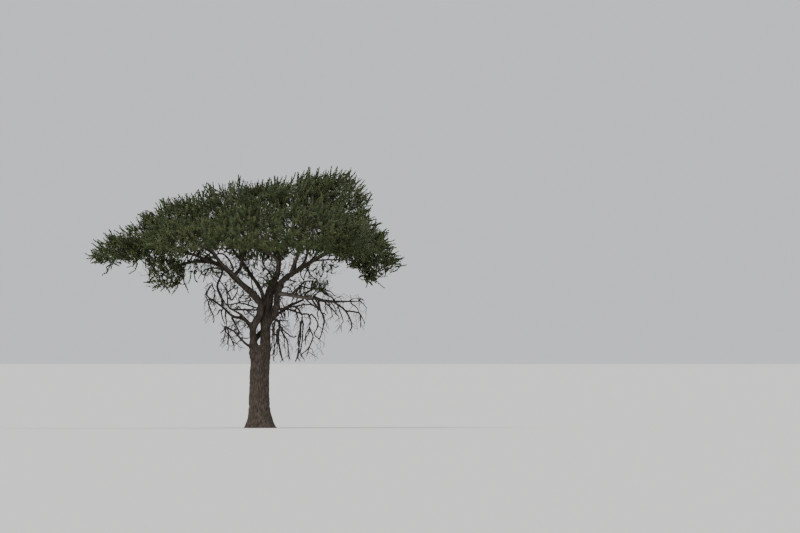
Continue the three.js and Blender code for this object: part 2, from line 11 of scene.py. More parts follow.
import bpy
import numpy as np
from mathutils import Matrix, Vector


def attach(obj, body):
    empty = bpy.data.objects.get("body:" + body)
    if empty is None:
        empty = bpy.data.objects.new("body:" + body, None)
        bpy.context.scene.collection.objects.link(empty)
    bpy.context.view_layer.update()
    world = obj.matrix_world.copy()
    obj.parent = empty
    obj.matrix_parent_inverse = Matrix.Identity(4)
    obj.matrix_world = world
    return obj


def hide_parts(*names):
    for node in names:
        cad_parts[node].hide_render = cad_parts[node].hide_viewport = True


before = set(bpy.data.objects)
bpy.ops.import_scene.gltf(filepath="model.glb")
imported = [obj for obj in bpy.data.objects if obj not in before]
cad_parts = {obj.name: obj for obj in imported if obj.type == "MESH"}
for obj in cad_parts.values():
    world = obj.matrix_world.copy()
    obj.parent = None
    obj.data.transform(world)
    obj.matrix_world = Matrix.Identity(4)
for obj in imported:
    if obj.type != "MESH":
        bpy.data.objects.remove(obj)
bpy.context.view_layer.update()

# %% [markdown]
# ## The limbs as named sizes
#
# A tree is easiest to describe as a family: each limb grows from a parent, runs through a few
# places and ends at a tip. These are the limbs of the frame, in millimetres, with the same
# parents, places and girths. Where a limb carries foliage, its tip is worked out from the mass.

# %% The limbs
MM = 0.001
TRUNK_HEIGHT = 2.48
TRUNK_HALF_WIDTH = 0.285
TRUNK_HALF_DEPTH = 0.235
FLARE = 0.62
FLARE_HEIGHT = 0.33
BUTTRESSES = 5

# name, parent, radii at root and tip, places, the mass it carries
LIMBS = [
    ("fork_right", None, (215, 158), [(80, 10, 1850), (140, 20, 2300), (165, 35, 2700)], None),
    ("fork_left", None, (200, 104), [(-90, 0, 1850), (-180, 0, 2300), (-208, -10, 2700)], None),
    ("stem_main", "fork_right", (160, 126),
     [(168, 40, 3050), (200, 70, 3600), (300, 90, 4100), (470, 80, 4450)], None),
    ("stem_left", "fork_left", (103, 106),
     [(-212, -20, 2920), (-152, -80, 3130), (-22, -150, 3370), (18, -170, 3660)], None),
    ("stem_right", "stem_main", (108, 96),
     [(185, 45, 3100), (380, -40, 3370), (490, -50, 3640), (515, -40, 4000),
      (600, -20, 4300)], None),
    ("bough_left", "stem_left", (110, 40),
     [(-215, -130, 4010), (-640, -60, 4395), (-1180, 0, 4880), (-1850, 0, 5010)],
     "left_droop"),
    ("bough_far_left", "bough_left", (46, 24),
     [(-1480, 0, 4980), (-2000, -200, 5200), (-2550, -220, 5330), (-3150, -80, 5370)],
     "far_left"),
    ("bough_left_shoulder", "bough_far_left", (34, 24),
     [(-2150, -200, 5240), (-2500, -60, 5430)], "left_shoulder"),
    ("bough_left_top", "stem_main", (72, 30),
     [(205, 72, 3600), (150, 0, 3750), (90, -30, 3885), (82, -34, 4000),
      (42, -5, 4115), (-330, 25, 4680), (-900, 120, 5450)], "left_top"),
    ("bough_mid_left", "bough_left", (58, 30),
     [(-720, -40, 4600), (-585, -120, 4800), (-540, -170, 5050), (-450, -190, 5260),
      (-350, -180, 5500)], "mid_left_top"),
    ("bough_mid_low", "stem_main", (31, 19),
     [(420, 85, 4400), (320, 10, 4610), (205, -40, 4770), (90, -80, 4915)],
     "mid_low"),
    ("bough_centre", "stem_main", (66, 34),
     [(470, 80, 4440), (556, 90, 4720), (576, 90, 5100), (500, 60, 5560)], "mid_top"),
    ("bough_right", "stem_right", (90, 32),
     [(755, -10, 4480), (975, -10, 4630), (1340, 0, 4870), (2000, 0, 5230)], "right_outer"),
    ("bough_right_inner", "bough_right", (56, 28),
     [(1010, -10, 4720), (1050, 100, 4960), (1150, 230, 5200), (1230, 320, 5450),
      (1280, 330, 5900)], "mid_right_top"),
    ("bough_right_mid", "bough_right", (62, 34),
     [(1180, 0, 4770), (1305, -50, 4930), (1378, -90, 5090)], "mid_right_low"),
    ("bough_right_top", "bough_right", (44, 28),
     [(1500, 0, 5000), (1780, 220, 5330), (2080, 400, 5750)], "right_top"),
    ("bough_right_tip", "bough_right", (29, 18),
     [(1420, 0, 4960), (1700, -120, 5020), (2300, -120, 5050)], "right_tip"),
    ("bough_left_front", "bough_left", (58, 28),
     [(-420, -100, 4225), (-780, -620, 4600), (-1150, -1050, 4950), (-1400, -1350, 5300)],
     "left_front"),
    ("bough_mid_front", "stem_main", (58, 28),
     [(450, 80, 4420), (528, -330, 4780), (500, -800, 5060), (120, -1300, 5350)], "mid_front"),
    ("bough_right_front", "bough_right", (54, 27),
     [(890, -10, 4600), (1010, -480, 4900), (1110, -900, 5150), (1150, -1300, 5450)],
     "right_front"),
    ("bough_outer_front", "bough_right", (42, 25),
     [(1390, 0, 4950), (1760, -520, 5140), (2100, -900, 5350)], "outer_front"),
    ("bough_left_back", "bough_left", (58, 28),
     [(-520, -80, 4285), (-800, 420, 4620), (-1200, 900, 4950), (-1450, 1300, 5250)],
     "left_back"),
    ("bough_mid_back", "stem_main", (54, 27),
     [(455, 82, 4430), (530, 470, 4780), (480, 1000, 5080), (60, 1500, 5400)], "mid_back"),
    ("bough_right_back", "bough_right", (54, 27),
     [(950, -10, 4620), (1050, 480, 4930), (1130, 950, 5180), (1100, 1350, 5450)],
     "right_back"),
    ("bough_outer_back", "bough_right", (42, 25),
     [(1340, 0, 4920), (1700, 520, 5120), (2150, 1000, 5400)], "outer_back"),
    ("dead_limb", "stem_right", (72, 46),
     [(520, -40, 4040), (860, -90, 4000), (1300, -120, 3918), (1605, -130, 3900)], None),
    ("cross_limb", "fork_left", (76, 24),
     [(-200, 0, 2560), (-50, 220, 2790), (150, 305, 3000), (440, 230, 3345), (860, 80, 3630),
      (1110, 20, 3610), (1240, 0, 3420)], None),
    ("bough_under", "dead_limb", (36, 22),
     [(930, -95, 3995), (1080, -112, 4140), (1220, -132, 4275), (1335, -170, 4390)],
     "under_cluster"),
    ("loop_low", "stem_left", (58, 25),
     [(-208, -20, 2940), (-492, 30, 3270), (-812, 80, 3350), (-1131, 60, 3636),
      (-1480, 20, 3870)], None),
    ("loop_high", "loop_low", (43, 27),
     [(-1131, 60, 3636), (-1130, 80, 3830), (-1255, 120, 4130), (-1286, 140, 4280),
      (-1205, 180, 4480), (-1125, 220, 4690), (-1200, 245, 4860)], "left_inner"),
    ("left_fork", "stem_left", (48, 24),
     [(-195, -50, 3030), (-380, -120, 3210), (-560, -140, 3390), (-870, -130, 3570)], None),
    ("low_limb", "fork_left", (46, 20),
     [(-190, 0, 2400), (-406, -40, 2512), (-640, -60, 2745), (-800, -60, 2915),
      (-1010, -60, 3030)], None),
]
# These go straight on from the end of their parent; the others branch off.
STRAIGHT_ON = ("stem_main", "stem_left", "bough_left", "bough_right")
print(len(LIMBS), "limbs")

# %% [markdown]
# ## The crown as named spaces
#
# The crown isn't one cloud. It is made of masses, each on its own bough, and each keeps to an
# oval space that a plane cuts off towards every neighbour. The spaces are those of the frame.
# Bare masses keep to a space like a box, and hang from dead wood.

# %% The masses
# name: kind, centre, reach, power of the oval, share of the core, shoots against the usual
LEAFY = {
    "far_left": ("dense", (-4250, 0, 5430), (900, 950, 640), 2.6, 1, 1.0),
    "left_shoulder": ("dense", (-3150, 50, 5880), (860, 1350, 750), 2.6, 1, 1.0),
    "left_top": ("dense", (-2100, -50, 6290), (1060, 1450, 840), 2.6, 1, 1.0),
    "mid_left_top": ("dense", (-950, 0, 6620), (880, 1500, 900), 2.6, 1, 1.0),
    "mid_top": ("dense", (150, 0, 6730), (900, 1500, 900), 2.6, 1, 1.0),
    "mid_right_top": ("dense", (1300, 0, 6900), (900, 1500, 940), 2.6, 1, 1.0),
    "right_top": ("dense", (2450, 0, 6830), (920, 1400, 1000), 2.6, 1, 1.0),
    "mid_right_low": ("dense", (1500, -250, 5600), (820, 650, 480), 2.6, 1, 0.8),
    "right_outer": ("dense", (3150, 0, 5650), (960, 1250, 760), 2.6, 1, 1.0),
    "right_tip": ("dense", (3400, 0, 5000), (880, 880, 730), 1.6, 1, 1.0),
    "left_front": ("dense", (-2250, -2050, 5850), (1250, 1200, 720), 2.6, 1, 1.0),
    "mid_front": ("dense", (-350, -2450, 6070), (1250, 1250, 820), 2.6, 1, 1.0),
    "right_front": ("dense", (1450, -2400, 6120), (1250, 1250, 860), 2.6, 1, 1.0),
    "outer_front": ("dense", (2780, -1800, 5760), (990, 1150, 720), 2.6, 1, 1.0),
    "left_back": ("dense", (-2350, 2050, 5850), (1250, 1200, 720), 2.6, 1, 1.0),
    "mid_back": ("dense", (-350, 2480, 6070), (1250, 1250, 820), 2.6, 1, 1.0),
    "right_back": ("dense", (1450, 2450, 6150), (1250, 1250, 860), 2.6, 1, 1.0),
    "outer_back": ("dense", (2760, 1850, 5780), (990, 1150, 720), 2.6, 1, 1.0),
    "left_droop": ("dense", (-2920, -100, 4770), (830, 900, 740), 2.0, 0.72, 0.8),
    "left_inner": ("sparse", (-1850, 0, 5330), (560, 700, 420), 2.2, 1, 1.1),
    "mid_low": ("sparse", (0, 0, 5440), (1150, 900, 540), 2.2, 1, 1.1),
    "under_cluster": ("sparse", (1750, -250, 4450), (400, 400, 450), 2.2, 1, 2.2),
}
# name: parent, radii of the stem, centre, reach, places on the stem, tips
BARE = {
    "dead_twigs": (
        "dead_limb", (44, 12), (2400, -150, 3430), (830, 420, 640),
        [(1870, -140, 3825), (2140, -150, 3798), (2646, -160, 3798), (2940, -160, 3800)],
        [(2600, -110, 3500), (2730, -90, 2950), (3195, -190, 3609), (3030, -220, 3100),
         (3020, -130, 3870)]),
    "hanging_right": (
        "cross_limb", (22, 8), (1450, -20, 2710), (540, 380, 780),
        [(1225, 10, 3050), (1220, 20, 2730), (1150, 20, 2350), (1075, 10, 1990)],
        [(1600, 60, 2830), (1250, 90, 2180), (1790, -120, 2640), (1900, 40, 3300)]),
    "hanging_trunk": (
        "stem_main", (34, 8), (650, -80, 2640), (400, 400, 720),
        [(190, 55, 3150), (420, -90, 3270), (560, -120, 3200), (560, -120, 2640),
         (690, -120, 2010)],
        [(990, -150, 2730), (900, -60, 2060), (420, -230, 2100)]),
    "hanging_left": (
        "low_limb", (20, 8), (-820, -60, 2760), (430, 340, 520),
        [(-1050, -60, 2950), (-960, -55, 2780), (-980, -50, 2540)],
        [(-930, -140, 2450), (-760, 20, 2520), (-560, -150, 2380)]),
    "far_strands": (
        "loop_low", (21, 8), (-1490, 10, 3720), (240, 300, 660),
        [(-1600, 10, 4010), (-1530, 0, 4160), (-1450, 0, 4310)],
        [(-1560, 20, 3560), (-1400, -20, 3130)]),
    "inner_strands": (
        "left_fork", (23, 8), (-800, -100, 3960), (400, 320, 500),
        [(-960, -120, 3680), (-980, -110, 3950), (-1040, -100, 4380)],
        [(-640, -130, 3770), (-430, -200, 3700), (-760, -60, 4300)]),
}
BARE_POWER = 6.0
SPACE_MARGIN = 12 * MM  # how far a space stays from the plane towards its neighbour
TINY = 1e-6


class Space:
    """The oval or boxy room that one mass keeps to."""

    def __init__(self, centre, reach, power):
        self.centre = np.array(centre) * MM
        self.reach = np.array(reach) * MM
        self.power = power
        self.normals = np.zeros((0, 3))
        self.offsets = np.zeros(0)

    def oval(self, directions):
        total = (np.abs(directions / self.reach) ** self.power).sum(-1)
        return total ** (-1 / self.power)

    def along(self, directions, swell=1.0, over=0.0):
        """How far the space goes from its centre in each direction."""
        if not len(self.offsets):
            return self.oval(directions) * swell
        facing = directions @ self.normals.T
        limits = (self.offsets + over) / np.maximum(facing, TINY)
        limits = np.where(facing > TINY, limits, np.inf)
        return np.minimum(self.oval(directions) * swell, limits.min(-1))

    def holds(self, points, share=1.0, swell=1.0, over=0.0):
        """Tells which points are inside; swell is for the oval, over for the planes."""
        offset = points - self.centre
        length = np.linalg.norm(offset, axis=-1)
        directions = offset / np.maximum(length, 1e-9)[..., None]
        return length <= self.along(directions, swell, over) * share


SPACES = {name: Space(centre, reach, power)
          for name, (_, centre, reach, power, *_) in LEAFY.items()}
SPACES.update({name: Space(centre, reach, BARE_POWER)
               for name, (_, _, centre, reach, *_) in BARE.items()})
for space in SPACES.values():
    normals, offsets = [], []
    for other in SPACES.values():
        if other is space:
            continue
        normal = other.centre - space.centre
        distance = np.linalg.norm(normal)
        normal = normal / distance
        own, theirs = space.oval(normal), other.oval(normal)
        normals.append(normal)
        offsets.append(distance * own / (own + theirs) - SPACE_MARGIN)
    space.normals, space.offsets = np.array(normals), np.array(offsets)
print(len(LEAFY), "leafy masses and", len(BARE), "bare ones")

# %% [markdown]
# ## Paths
#
# A limb is a smooth line before it is a shape. A Catmull-Rom line passes through every place
# that it is given, and with centripetal spacing it doesn't loop or overshoot where the places
# are uneven. Points at even steps along it are what the later cells need.

# %% Smooth paths
STEP = 0.03  # metres between the points of a limb
CURVE_STEPS = 40
FEWEST_STEPS = 5


def unit(vectors):
    """The same directions, each 1 long."""
    return vectors / np.linalg.norm(vectors, axis=-1, keepdims=True)


def lengths_along(line):
    """How far along a line each of its points is."""
    return np.r_[0, np.cumsum(np.linalg.norm(np.diff(line, axis=0), axis=1))]


def columns_at(places, knots, values):
    """What the columns of values come to at places between the knots."""
    return np.column_stack([np.interp(places, knots, column) for column in values.T])


def nearest_point(points, place):
    return points[np.argmin(np.linalg.norm(points - place, axis=1))]


def end_direction(path):
    return unit(path[-1] - path[-2])


def smooth_path(places, step=STEP):
    """Points at even steps on a centripetal Catmull-Rom line through the places."""
    places = np.array(places, float)
    ends = np.vstack([2 * places[0] - places[1], places, 2 * places[-1] - places[-2]])
    t = np.linspace(0, 1, CURVE_STEPS, endpoint=False)[:, None]
    points = []
    for i in range(len(places) - 1):
        p0, p1, p2, p3 = ends[i:i + 4]
        d0, d1, d2 = (max(np.linalg.norm(b - a), TINY) ** 0.5
                      for a, b in ((p0, p1), (p1, p2), (p2, p3)))
        slope1 = ((p1 - p0) / d0 - (p2 - p0) / (d0 + d1) + (p2 - p1) / d1) * d1
        slope2 = ((p2 - p1) / d1 - (p3 - p1) / (d1 + d2) + (p3 - p2) / d2) * d1
        points.append(p1 + slope1 * t + (3 * (p2 - p1) - 2 * slope1 - slope2) * t ** 2
                      + (2 * (p1 - p2) + slope1 + slope2) * t ** 3)
    line = np.vstack(points + [places[-1:]])
    lengths = lengths_along(line)
    count = max(FEWEST_STEPS, int(lengths[-1] / step))
    return columns_at(np.linspace(0, lengths[-1], count + 1), lengths, line)


# %% [markdown]
# A limb starts on the middle line of its parent, or goes straight on from its end. One that
# carries foliage ends just outside the solid core of a dense mass, or inside a sparse mass.

# %% Lead every limb along its places
ROOTED, LEAVING = 0.03, 0.06  # a limb that goes straight on: inside its parent, and out of it
CLEAR_OF_START = 0.15  # its places are left out where they are nearer its start
CORE_SHARE = np.array([0.84, 0.84, 0.7])  # the core of a dense mass against its space
CORE_MARGIN = 0.015  # how far a core stays from the planes
TIP_OFF_CORE = 1.12
TIP_IN_SPARSE = 0.78
PATHS, RADII = {}, {}
for name, parent, radii, places, carries in LIMBS:
    points = list(np.array(places) * MM)
    if name in STRAIGHT_ON:
        end, onward = PATHS[parent][-1], end_direction(PATHS[parent])
        points = [place for place in points if np.linalg.norm(place - end) > CLEAR_OF_START]
        points = [end - onward * ROOTED, end + onward * LEAVING, *points]
    elif parent:
        points[0] = nearest_point(PATHS[parent], points[0])
    if carries:
        kind, _, _, _, core, _ = LEAFY[carries]
        space = SPACES[carries]
        arriving = unit(points[-1] - space.centre)
        entry = space.along(arriving) * TIP_IN_SPARSE
        if kind == "dense":
            entry = min(space.oval(arriving / CORE_SHARE) * core,
                        space.along(arriving) - CORE_MARGIN) * TIP_OFF_CORE
        points.append(space.centre + arriving * entry)
    PATHS[name] = smooth_path(points)
    RADII[name] = np.linspace(radii[0], radii[1], len(PATHS[name])) * MM
print("longest limb", round(max(len(path) for path in PATHS.values()) * STEP, 2), "m")

# %% [markdown]
# ## One pole, bent many times
#
# Every limb is a round pole that was bent. It is modelled once, upright, with a circle drawn up
# ring by ring, and each limb is a copy that a Curve modifier bends along its own path. The
# path's radius at each point gives the taper and the collar where a limb leaves its parent.

# %% The pole and how it is bent
SCENE = bpy.context.scene
POLE_SIDES, POLE_RINGS = 12, 26
GRAIN_SHIFT = 3.7  # sets the bark's pattern on each limb apart from that on the others


def select(*pieces):
    """Selects just these pieces, the first as the active one."""
    bpy.ops.object.select_all(action="DESELECT")
    for piece in pieces:
        piece.select_set(True)
    if pieces:
        bpy.context.view_layer.objects.active = pieces[0]


def upright_pole(sides, rings):
    """A round pole of radius 1 and height 1 with its foot at the origin."""
    select()
    bpy.ops.mesh.primitive_circle_add(vertices=sides, radius=1, fill_type="NGON")
    bpy.ops.object.mode_set(mode="EDIT")
    bpy.ops.mesh.select_all(action="SELECT")
    for _ in range(rings):
        bpy.ops.mesh.extrude_region_move(
            TRANSFORM_OT_translate={"value": (0, 0, 1 / rings)})
    bpy.ops.mesh.select_all(action="SELECT")
    bpy.ops.mesh.normals_make_consistent(inside=False)
    bpy.ops.object.mode_set(mode="OBJECT")
    return bpy.context.object


def corners_of(piece):
    """The places of a piece's corners."""
    flat = np.zeros(len(piece.data.vertices) * 3)
    piece.data.vertices.foreach_get("co", flat)
    return flat.reshape(-1, 3)


def keep_grain(piece, grain):
    """Keeps coordinates round and along the wood, which the bark's pattern follows."""
    attributes = piece.data.attributes
    stored = attributes.get("grain") or attributes.new("grain", "FLOAT_VECTOR", "POINT")
    stored.data.foreach_set("vector", grain.ravel())


def apply(piece, kind, **settings):
    """Adds a modifier of this kind and applies it at once."""
    select(piece)
    bpy.ops.object.modifier_add(type=kind)
    modifier = piece.modifiers[-1]
    for key, value in settings.items():
        setattr(modifier, key, value)
    bpy.ops.object.modifier_apply(modifier=modifier.name)


def bent_pole(name, path, radii, smooth=1):
    """A copy of the pole along the path, with its grain kept as an attribute."""
    curve = bpy.data.curves.new(name + "_path", "CURVE")
    curve.dimensions = "3D"
    curve.twist_mode = "MINIMUM"
    curve.use_radius = curve.use_stretch = curve.use_deform_bounds = True
    spline = curve.splines.new("POLY")
    spline.points.add(len(path) - 1)
    spline.points.foreach_set("co", np.column_stack([path, np.ones(len(path))]).ravel())
    spline.points.foreach_set("radius", radii)
    guide = bpy.data.objects.new(name + "_path", curve)
    SCENE.collection.objects.link(guide)
    limb = POLE.copy()
    limb.data = POLE.data.copy()
    limb.name = name
    SCENE.collection.objects.link(limb)
    places = corners_of(limb)
    girth = np.interp(places[:, 2], np.linspace(0, 1, len(radii)), radii)
    length = lengths_along(path)[-1]
    grain = np.column_stack([places[:, :2] * girth[:, None], places[:, 2] * length])
    grain[:, 2] += GRAIN_SHIFT * (len(name) + path[-1, 0])
    keep_grain(limb, grain)
    apply(limb, "CURVE", object=guide, deform_axis="POS_Z")
    apply(limb, "SUBSURF", levels=smooth, render_levels=smooth)
    bpy.data.objects.remove(guide)
    return limb


POLE = upright_pole(POLE_SIDES, POLE_RINGS)
POLE.name = "pole_pattern"
print("the pole has", len(POLE.data.polygons), "faces")

# %% [markdown]
# A limb's girth isn't even: it swells into a collar where it leaves its parent, and wavers a
# little all along.

# %% Give the limbs their collars
COLLAR = 0.4
COLLAR_LENGTH = 0.09
# How much the girth wavers, how fast along the limb, and its shift from limb to limb
WAVERS = [(0.05, 9, 1), (0.03, 23, 2)]


def with_collar(name):
    """The radii of a limb, with the swelling where it leaves its parent."""
    radii = RADII[name]
    run = np.linspace(0, 1, len(radii)) * (len(radii) * STEP)
    collar = 0.0 if name in STRAIGHT_ON or name.startswith("fork") else COLLAR
    girth = 1
    for share, pace, shift in WAVERS:
        girth = girth + share * np.sin(run * pace + shift * len(name))
    return radii * (1 + collar * np.exp(-run / COLLAR_LENGTH)) * girth


# %% [markdown]
# ## The trunk
#
# The trunk swells into buttresses at the ground and flattens where it forks. It starts as the
# same kind of pole with more sides, and its rings are pushed in and out by the frame's own
# formula. It goes a little below the ground, so that a clean flat cut can be made later.

# %% Model the trunk
TRUNK_SIDES, TRUNK_RINGS = 28, 40
CROWDING = 1.25  # brings the rings closer together towards the ground
BELOW_GROUND = 0.06
# How deep the folds of the foot are, how many stand round it, and how they are turned
FOLDS = [(0.16, BUTTRESSES, 0.6), (0.07, 3, 2.1)]
FLUTE_DEPTH, FLUTES, FLUTE_TURN = 0.035, 7, 0.9
SHOULDER, SHOULDER_SHRINK = 2.25, 0.42  # above this height it thins, by this share at most
LEAN, LEAN_WAVE = 0.026, 4.2


def trunk_pole():
    trunk = upright_pole(TRUNK_SIDES, TRUNK_RINGS)
    trunk.name = "trunk_body"
    x, y, z = corners_of(trunk).T
    height = z ** CROWDING * (TRUNK_HEIGHT + BELOW_GROUND) - BELOW_GROUND
    angle = np.arctan2(-y, x)
    foot = np.exp(-np.maximum(height, 0) / FLARE_HEIGHT)
    fold = sum(depth * np.cos(count * angle + turn) for depth, count, turn in FOLDS)
    flute = FLUTE_DEPTH * np.cos(FLUTES * angle + height / FLUTE_TURN)
    above = np.maximum(0, (height - SHOULDER) / (TRUNK_HEIGHT - SHOULDER))
    girth = (1 + foot * (FLARE + fold) + flute) * (1 - SHOULDER_SHRINK * above)
    lean = LEAN * np.sin(height / TRUNK_HEIGHT * LEAN_WAVE)
    shaped = np.column_stack([x * TRUNK_HALF_WIDTH * girth - lean,
                              y * TRUNK_HALF_DEPTH * girth, height])
    trunk.data.vertices.foreach_set("co", shaped.ravel())
    trunk.data.update()
    return trunk


# %% [markdown]
# ## One skin over the heavy wood
#
# Bark runs without a seam from the trunk into the stems and the big boughs. Joined poles only
# stand in each other, so a Remesh modifier wraps them in one skin of small even faces. Then
# Displace modifiers raise the bark: broad swellings first, then long fissures, drawn out along
# the wood by an empty that is stretched upwards.

# %% Join, wrap and roughen the heavy wood
HEAVY = ["fork_right", "fork_left", "stem_main", "stem_left", "stem_right", "bough_left",
         "bough_right", "bough_centre", "cross_limb"]
HEAVY_NODES = ["trunk", *HEAVY[2:]]
VOXEL = 0.013
SMOOTHINGS = 4
# The size of the pattern and the height of the relief, in metres
SWELLINGS = (0.28, 0.035)
FISSURES, FISSURE_STRETCH = (0.05, 0.016), 4.5
RELIEF_CENTRE = (0.3, 0.2, 0.1)
GROUND_CUT = 0.0005


def join(pieces, name):
    select(*pieces)
    bpy.ops.object.join()
    pieces[0].name = name
    return pieces[0]


def relief(piece, kind, size, strength, stretch=1, **settings):
    """Raises the surface with one of Blender's procedural textures."""
    texture = bpy.data.textures.new("relief", kind)
    texture.noise_scale = size
    for key, value in settings.items():
        setattr(texture, key, value)
    select()
    bpy.ops.object.empty_add(location=RELIEF_CENTRE)
    guide = bpy.context.object
    guide.scale = (1, 1, stretch)
    bpy.context.view_layer.update()
    apply(piece, "DISPLACE", texture=texture, strength=strength, mid_level=0.5,
          texture_coords="OBJECT", texture_coords_object=guide)
    bpy.data.objects.remove(guide)


heavy = [trunk_pole(), *(bent_pole(name, PATHS[name], with_collar(name)) for name in HEAVY)]
heavy_wood = join(heavy, "trunk_and_boughs")
apply(heavy_wood, "REMESH", mode="VOXEL", voxel_size=VOXEL)
apply(heavy_wood, "SMOOTH", iterations=SMOOTHINGS, factor=0.5)
relief(heavy_wood, "CLOUDS", *SWELLINGS)
relief(heavy_wood, "MUSGRAVE", *FISSURES, FISSURE_STRETCH,
       musgrave_type="RIDGED_MULTIFRACTAL")
select(heavy_wood)
bpy.ops.object.mode_set(mode="EDIT")
bpy.ops.mesh.select_all(action="SELECT")
bpy.ops.mesh.bisect(plane_co=(0, 0, GROUND_CUT), plane_no=(0, 0, 1), use_fill=True,
                    clear_inner=True)
bpy.ops.object.mode_set(mode="OBJECT")
keep_grain(heavy_wood, corners_of(heavy_wood))
print("heavy wood", len(heavy_wood.data.polygons), "faces")

# %% [markdown]
# ## The lesser boughs
#
# The other boughs are slim, and a voxel skin would lose them. They stay bent poles, smoothed by
# subdivision and roughened a little, each rooted inside its parent with a collar. They run on
# past the frame's tips to the middle of their masses, as real limbs do.

# %% Model the lesser boughs
HUB_DROP = 0.2  # limbs end this far under the middle of their mass, against half its height
RUN_STRAIGHT = 0.08
INNER_TAPER = 0.45
END_POINTS = 8  # the pole that carries a heavy bough on repeats so many of its last points
END_GIRTH = 0.96  # and is slimmer, so that it comes out of the skin
LESSER_RELIEF = (0.05, 0.007)
DEAD_RELIEF = (0.04, 0.008)


def run_on(name, carries):
    """A limb's path and radii, carried on into the mass that it bears."""
    path, radii = PATHS[name], with_collar(name)
    if not carries:
        return path, radii
    space = SPACES[carries]
    hub = space.centre - np.array([0, 0, HUB_DROP * space.reach[2]])
    tip = path[-1]
    inner = smooth_path([tip, tip + end_direction(path) * RUN_STRAIGHT, hub])[1:]
    thinner = np.linspace(radii[-1], radii[-1] * INNER_TAPER, len(inner))
    return np.vstack([path, inner]), np.r_[radii, thinner]


GROWN = {name: run_on(name, carries) for name, _, _, _, carries in LIMBS}
LESSER_NODES = [name for name in GROWN if name not in HEAVY and name != "dead_limb"]
lesser = []
for name, _, _, _, carries in LIMBS:
    path, radii = GROWN[name]
    if name in LESSER_NODES:
        lesser.append(bent_pole(name, path, radii))
    elif carries:
        first = len(PATHS[name]) - END_POINTS
        lesser.append(bent_pole(name + "_end", path[first:], radii[first:] * END_GIRTH))
lesser_wood = join(lesser, "lesser_boughs")
relief(lesser_wood, "CLOUDS", *LESSER_RELIEF)
print("lesser boughs", len(lesser_wood.data.polygons), "faces")

dead_wood = bent_pole("dead_limb_wood", PATHS["dead_limb"], with_collar("dead_limb"), smooth=2)
relief(dead_wood, "CLOUDS", *DEAD_RELIEF)

# %% [markdown]
# ## How twigs grow
#
# Real twigs share out the light: each new one starts from the nearest wood and reaches for a
# place that has none. The same rule works here. Goals are spread through the space of a mass,
# the nearest point of what has grown so far is found for each, and a bent twig is drawn
# between the two. Thousands of thin twigs are too many to model one by one, so their rings are
# worked out as arrays and joined in one mesh.

# %% Growing
random = np.random.default_rng(41)
NEARLY_UPRIGHT = 0.9


def arch(first, bend, last, t):
    """The places at shares t of an arch that leaves and arrives pointing at its bend."""
    return (1 - t) ** 2 * first + 2 * t * (1 - t) * bend + t ** 2 * last


class Growth:
    """The twigs of one mass, and the points from which more may start."""

    SHORTEST = 0.05  # twigs are longer than this, and more may start from points so far apart
    BARE_FOOT = 0.15  # the share of a twig at its foot from which none starts
    RISE = 0.1  # how far the middle of a twig is lifted, against its length
    FALL = 0.55  # how near the height of its start a hanging twig's middle is
    SLOPE = 0.7  # a hanging twig's start should be higher by this, for each metre sideways
    LOW_COUNTS = 2.5  # how much further off a lower start counts as
    ROUGHNESS = 1.6
    SLIMMER = 0.85  # the most that a twig's root may be, against the wood it starts from

    def __init__(self, path, radii):
        self.points = path
        self.radii = radii
        self.lines = []

    def start_for(self, goal, hanging):
        """The nearest point; for a hanging twig, points below the goal count as far off."""
        away = np.linalg.norm(self.points - goal, axis=1)
        if hanging:
            sideways = np.linalg.norm((self.points - goal)[:, :2], axis=1)
            low = np.maximum(0, goal[2] + self.SLOPE * sideways - self.points[:, 2])
            away = away + self.LOW_COUNTS * low
        return int(np.argmin(away))

    def nearer(self, goal, longest, hanging=False):
        """The goal, or a place towards it if it is further than this from the wood."""
        nearest = self.points[self.start_for(goal, hanging)]
        span = np.linalg.norm(goal - nearest)
        return nearest + (goal - nearest) * longest / span if span > longest else goal

    def keep(self, line, radii, points, girths):
        """Keeps a twig, and the points on it from which more may start."""
        self.lines.append((line, radii))
        self.points = np.vstack([self.points, points])
        self.radii = np.r_[self.radii, girths]

    def reach(self, goal, thick, thin, space, hanging=False, steps=4, kink=0.04):
        """Grows one twig to the goal, unless it would leave the space."""
        nearest = self.start_for(goal, hanging)
        start = self.points[nearest]
        span = np.linalg.norm(goal - start)
        if span < self.SHORTEST:
            return
        middle = (start + goal) / 2
        if hanging:
            middle[2] = middle[2] * (1 - self.FALL) + start[2] * self.FALL
        else:
            middle[2] += self.RISE * span
        t = np.linspace(0, 1, steps + 1)[:, None]
        line = arch(start, middle, goal, t)
        line[1:-1] += random.normal(0, kink * span / steps, (steps - 1, 3)) * self.ROUGHNESS
        if not space.holds(line[1:]).all():
            return
        root = min(thick, self.radii[nearest] * self.SLIMMER)
        radii = np.linspace(root, min(thin, root), steps + 1)
        fine = np.linspace(self.BARE_FOOT, 1, max(3, int(span / self.SHORTEST)))
        self.keep(line, radii, columns_at(fine, t[:, 0], line),
                  np.interp(fine, t[:, 0], radii))


def square_to(axis, first):
    """Two directions square to each axis and to each other.

    An axis straight up or down has no side of its own, and takes that of the first one.
    """
    level = np.where(np.abs(first[..., 2:]) > NEARLY_UPRIGHT, [1.0, 0, 0], [0, 0, 1.0])
    side = unit(np.cross(axis + first * TINY, level))
    return side, np.cross(axis, side)


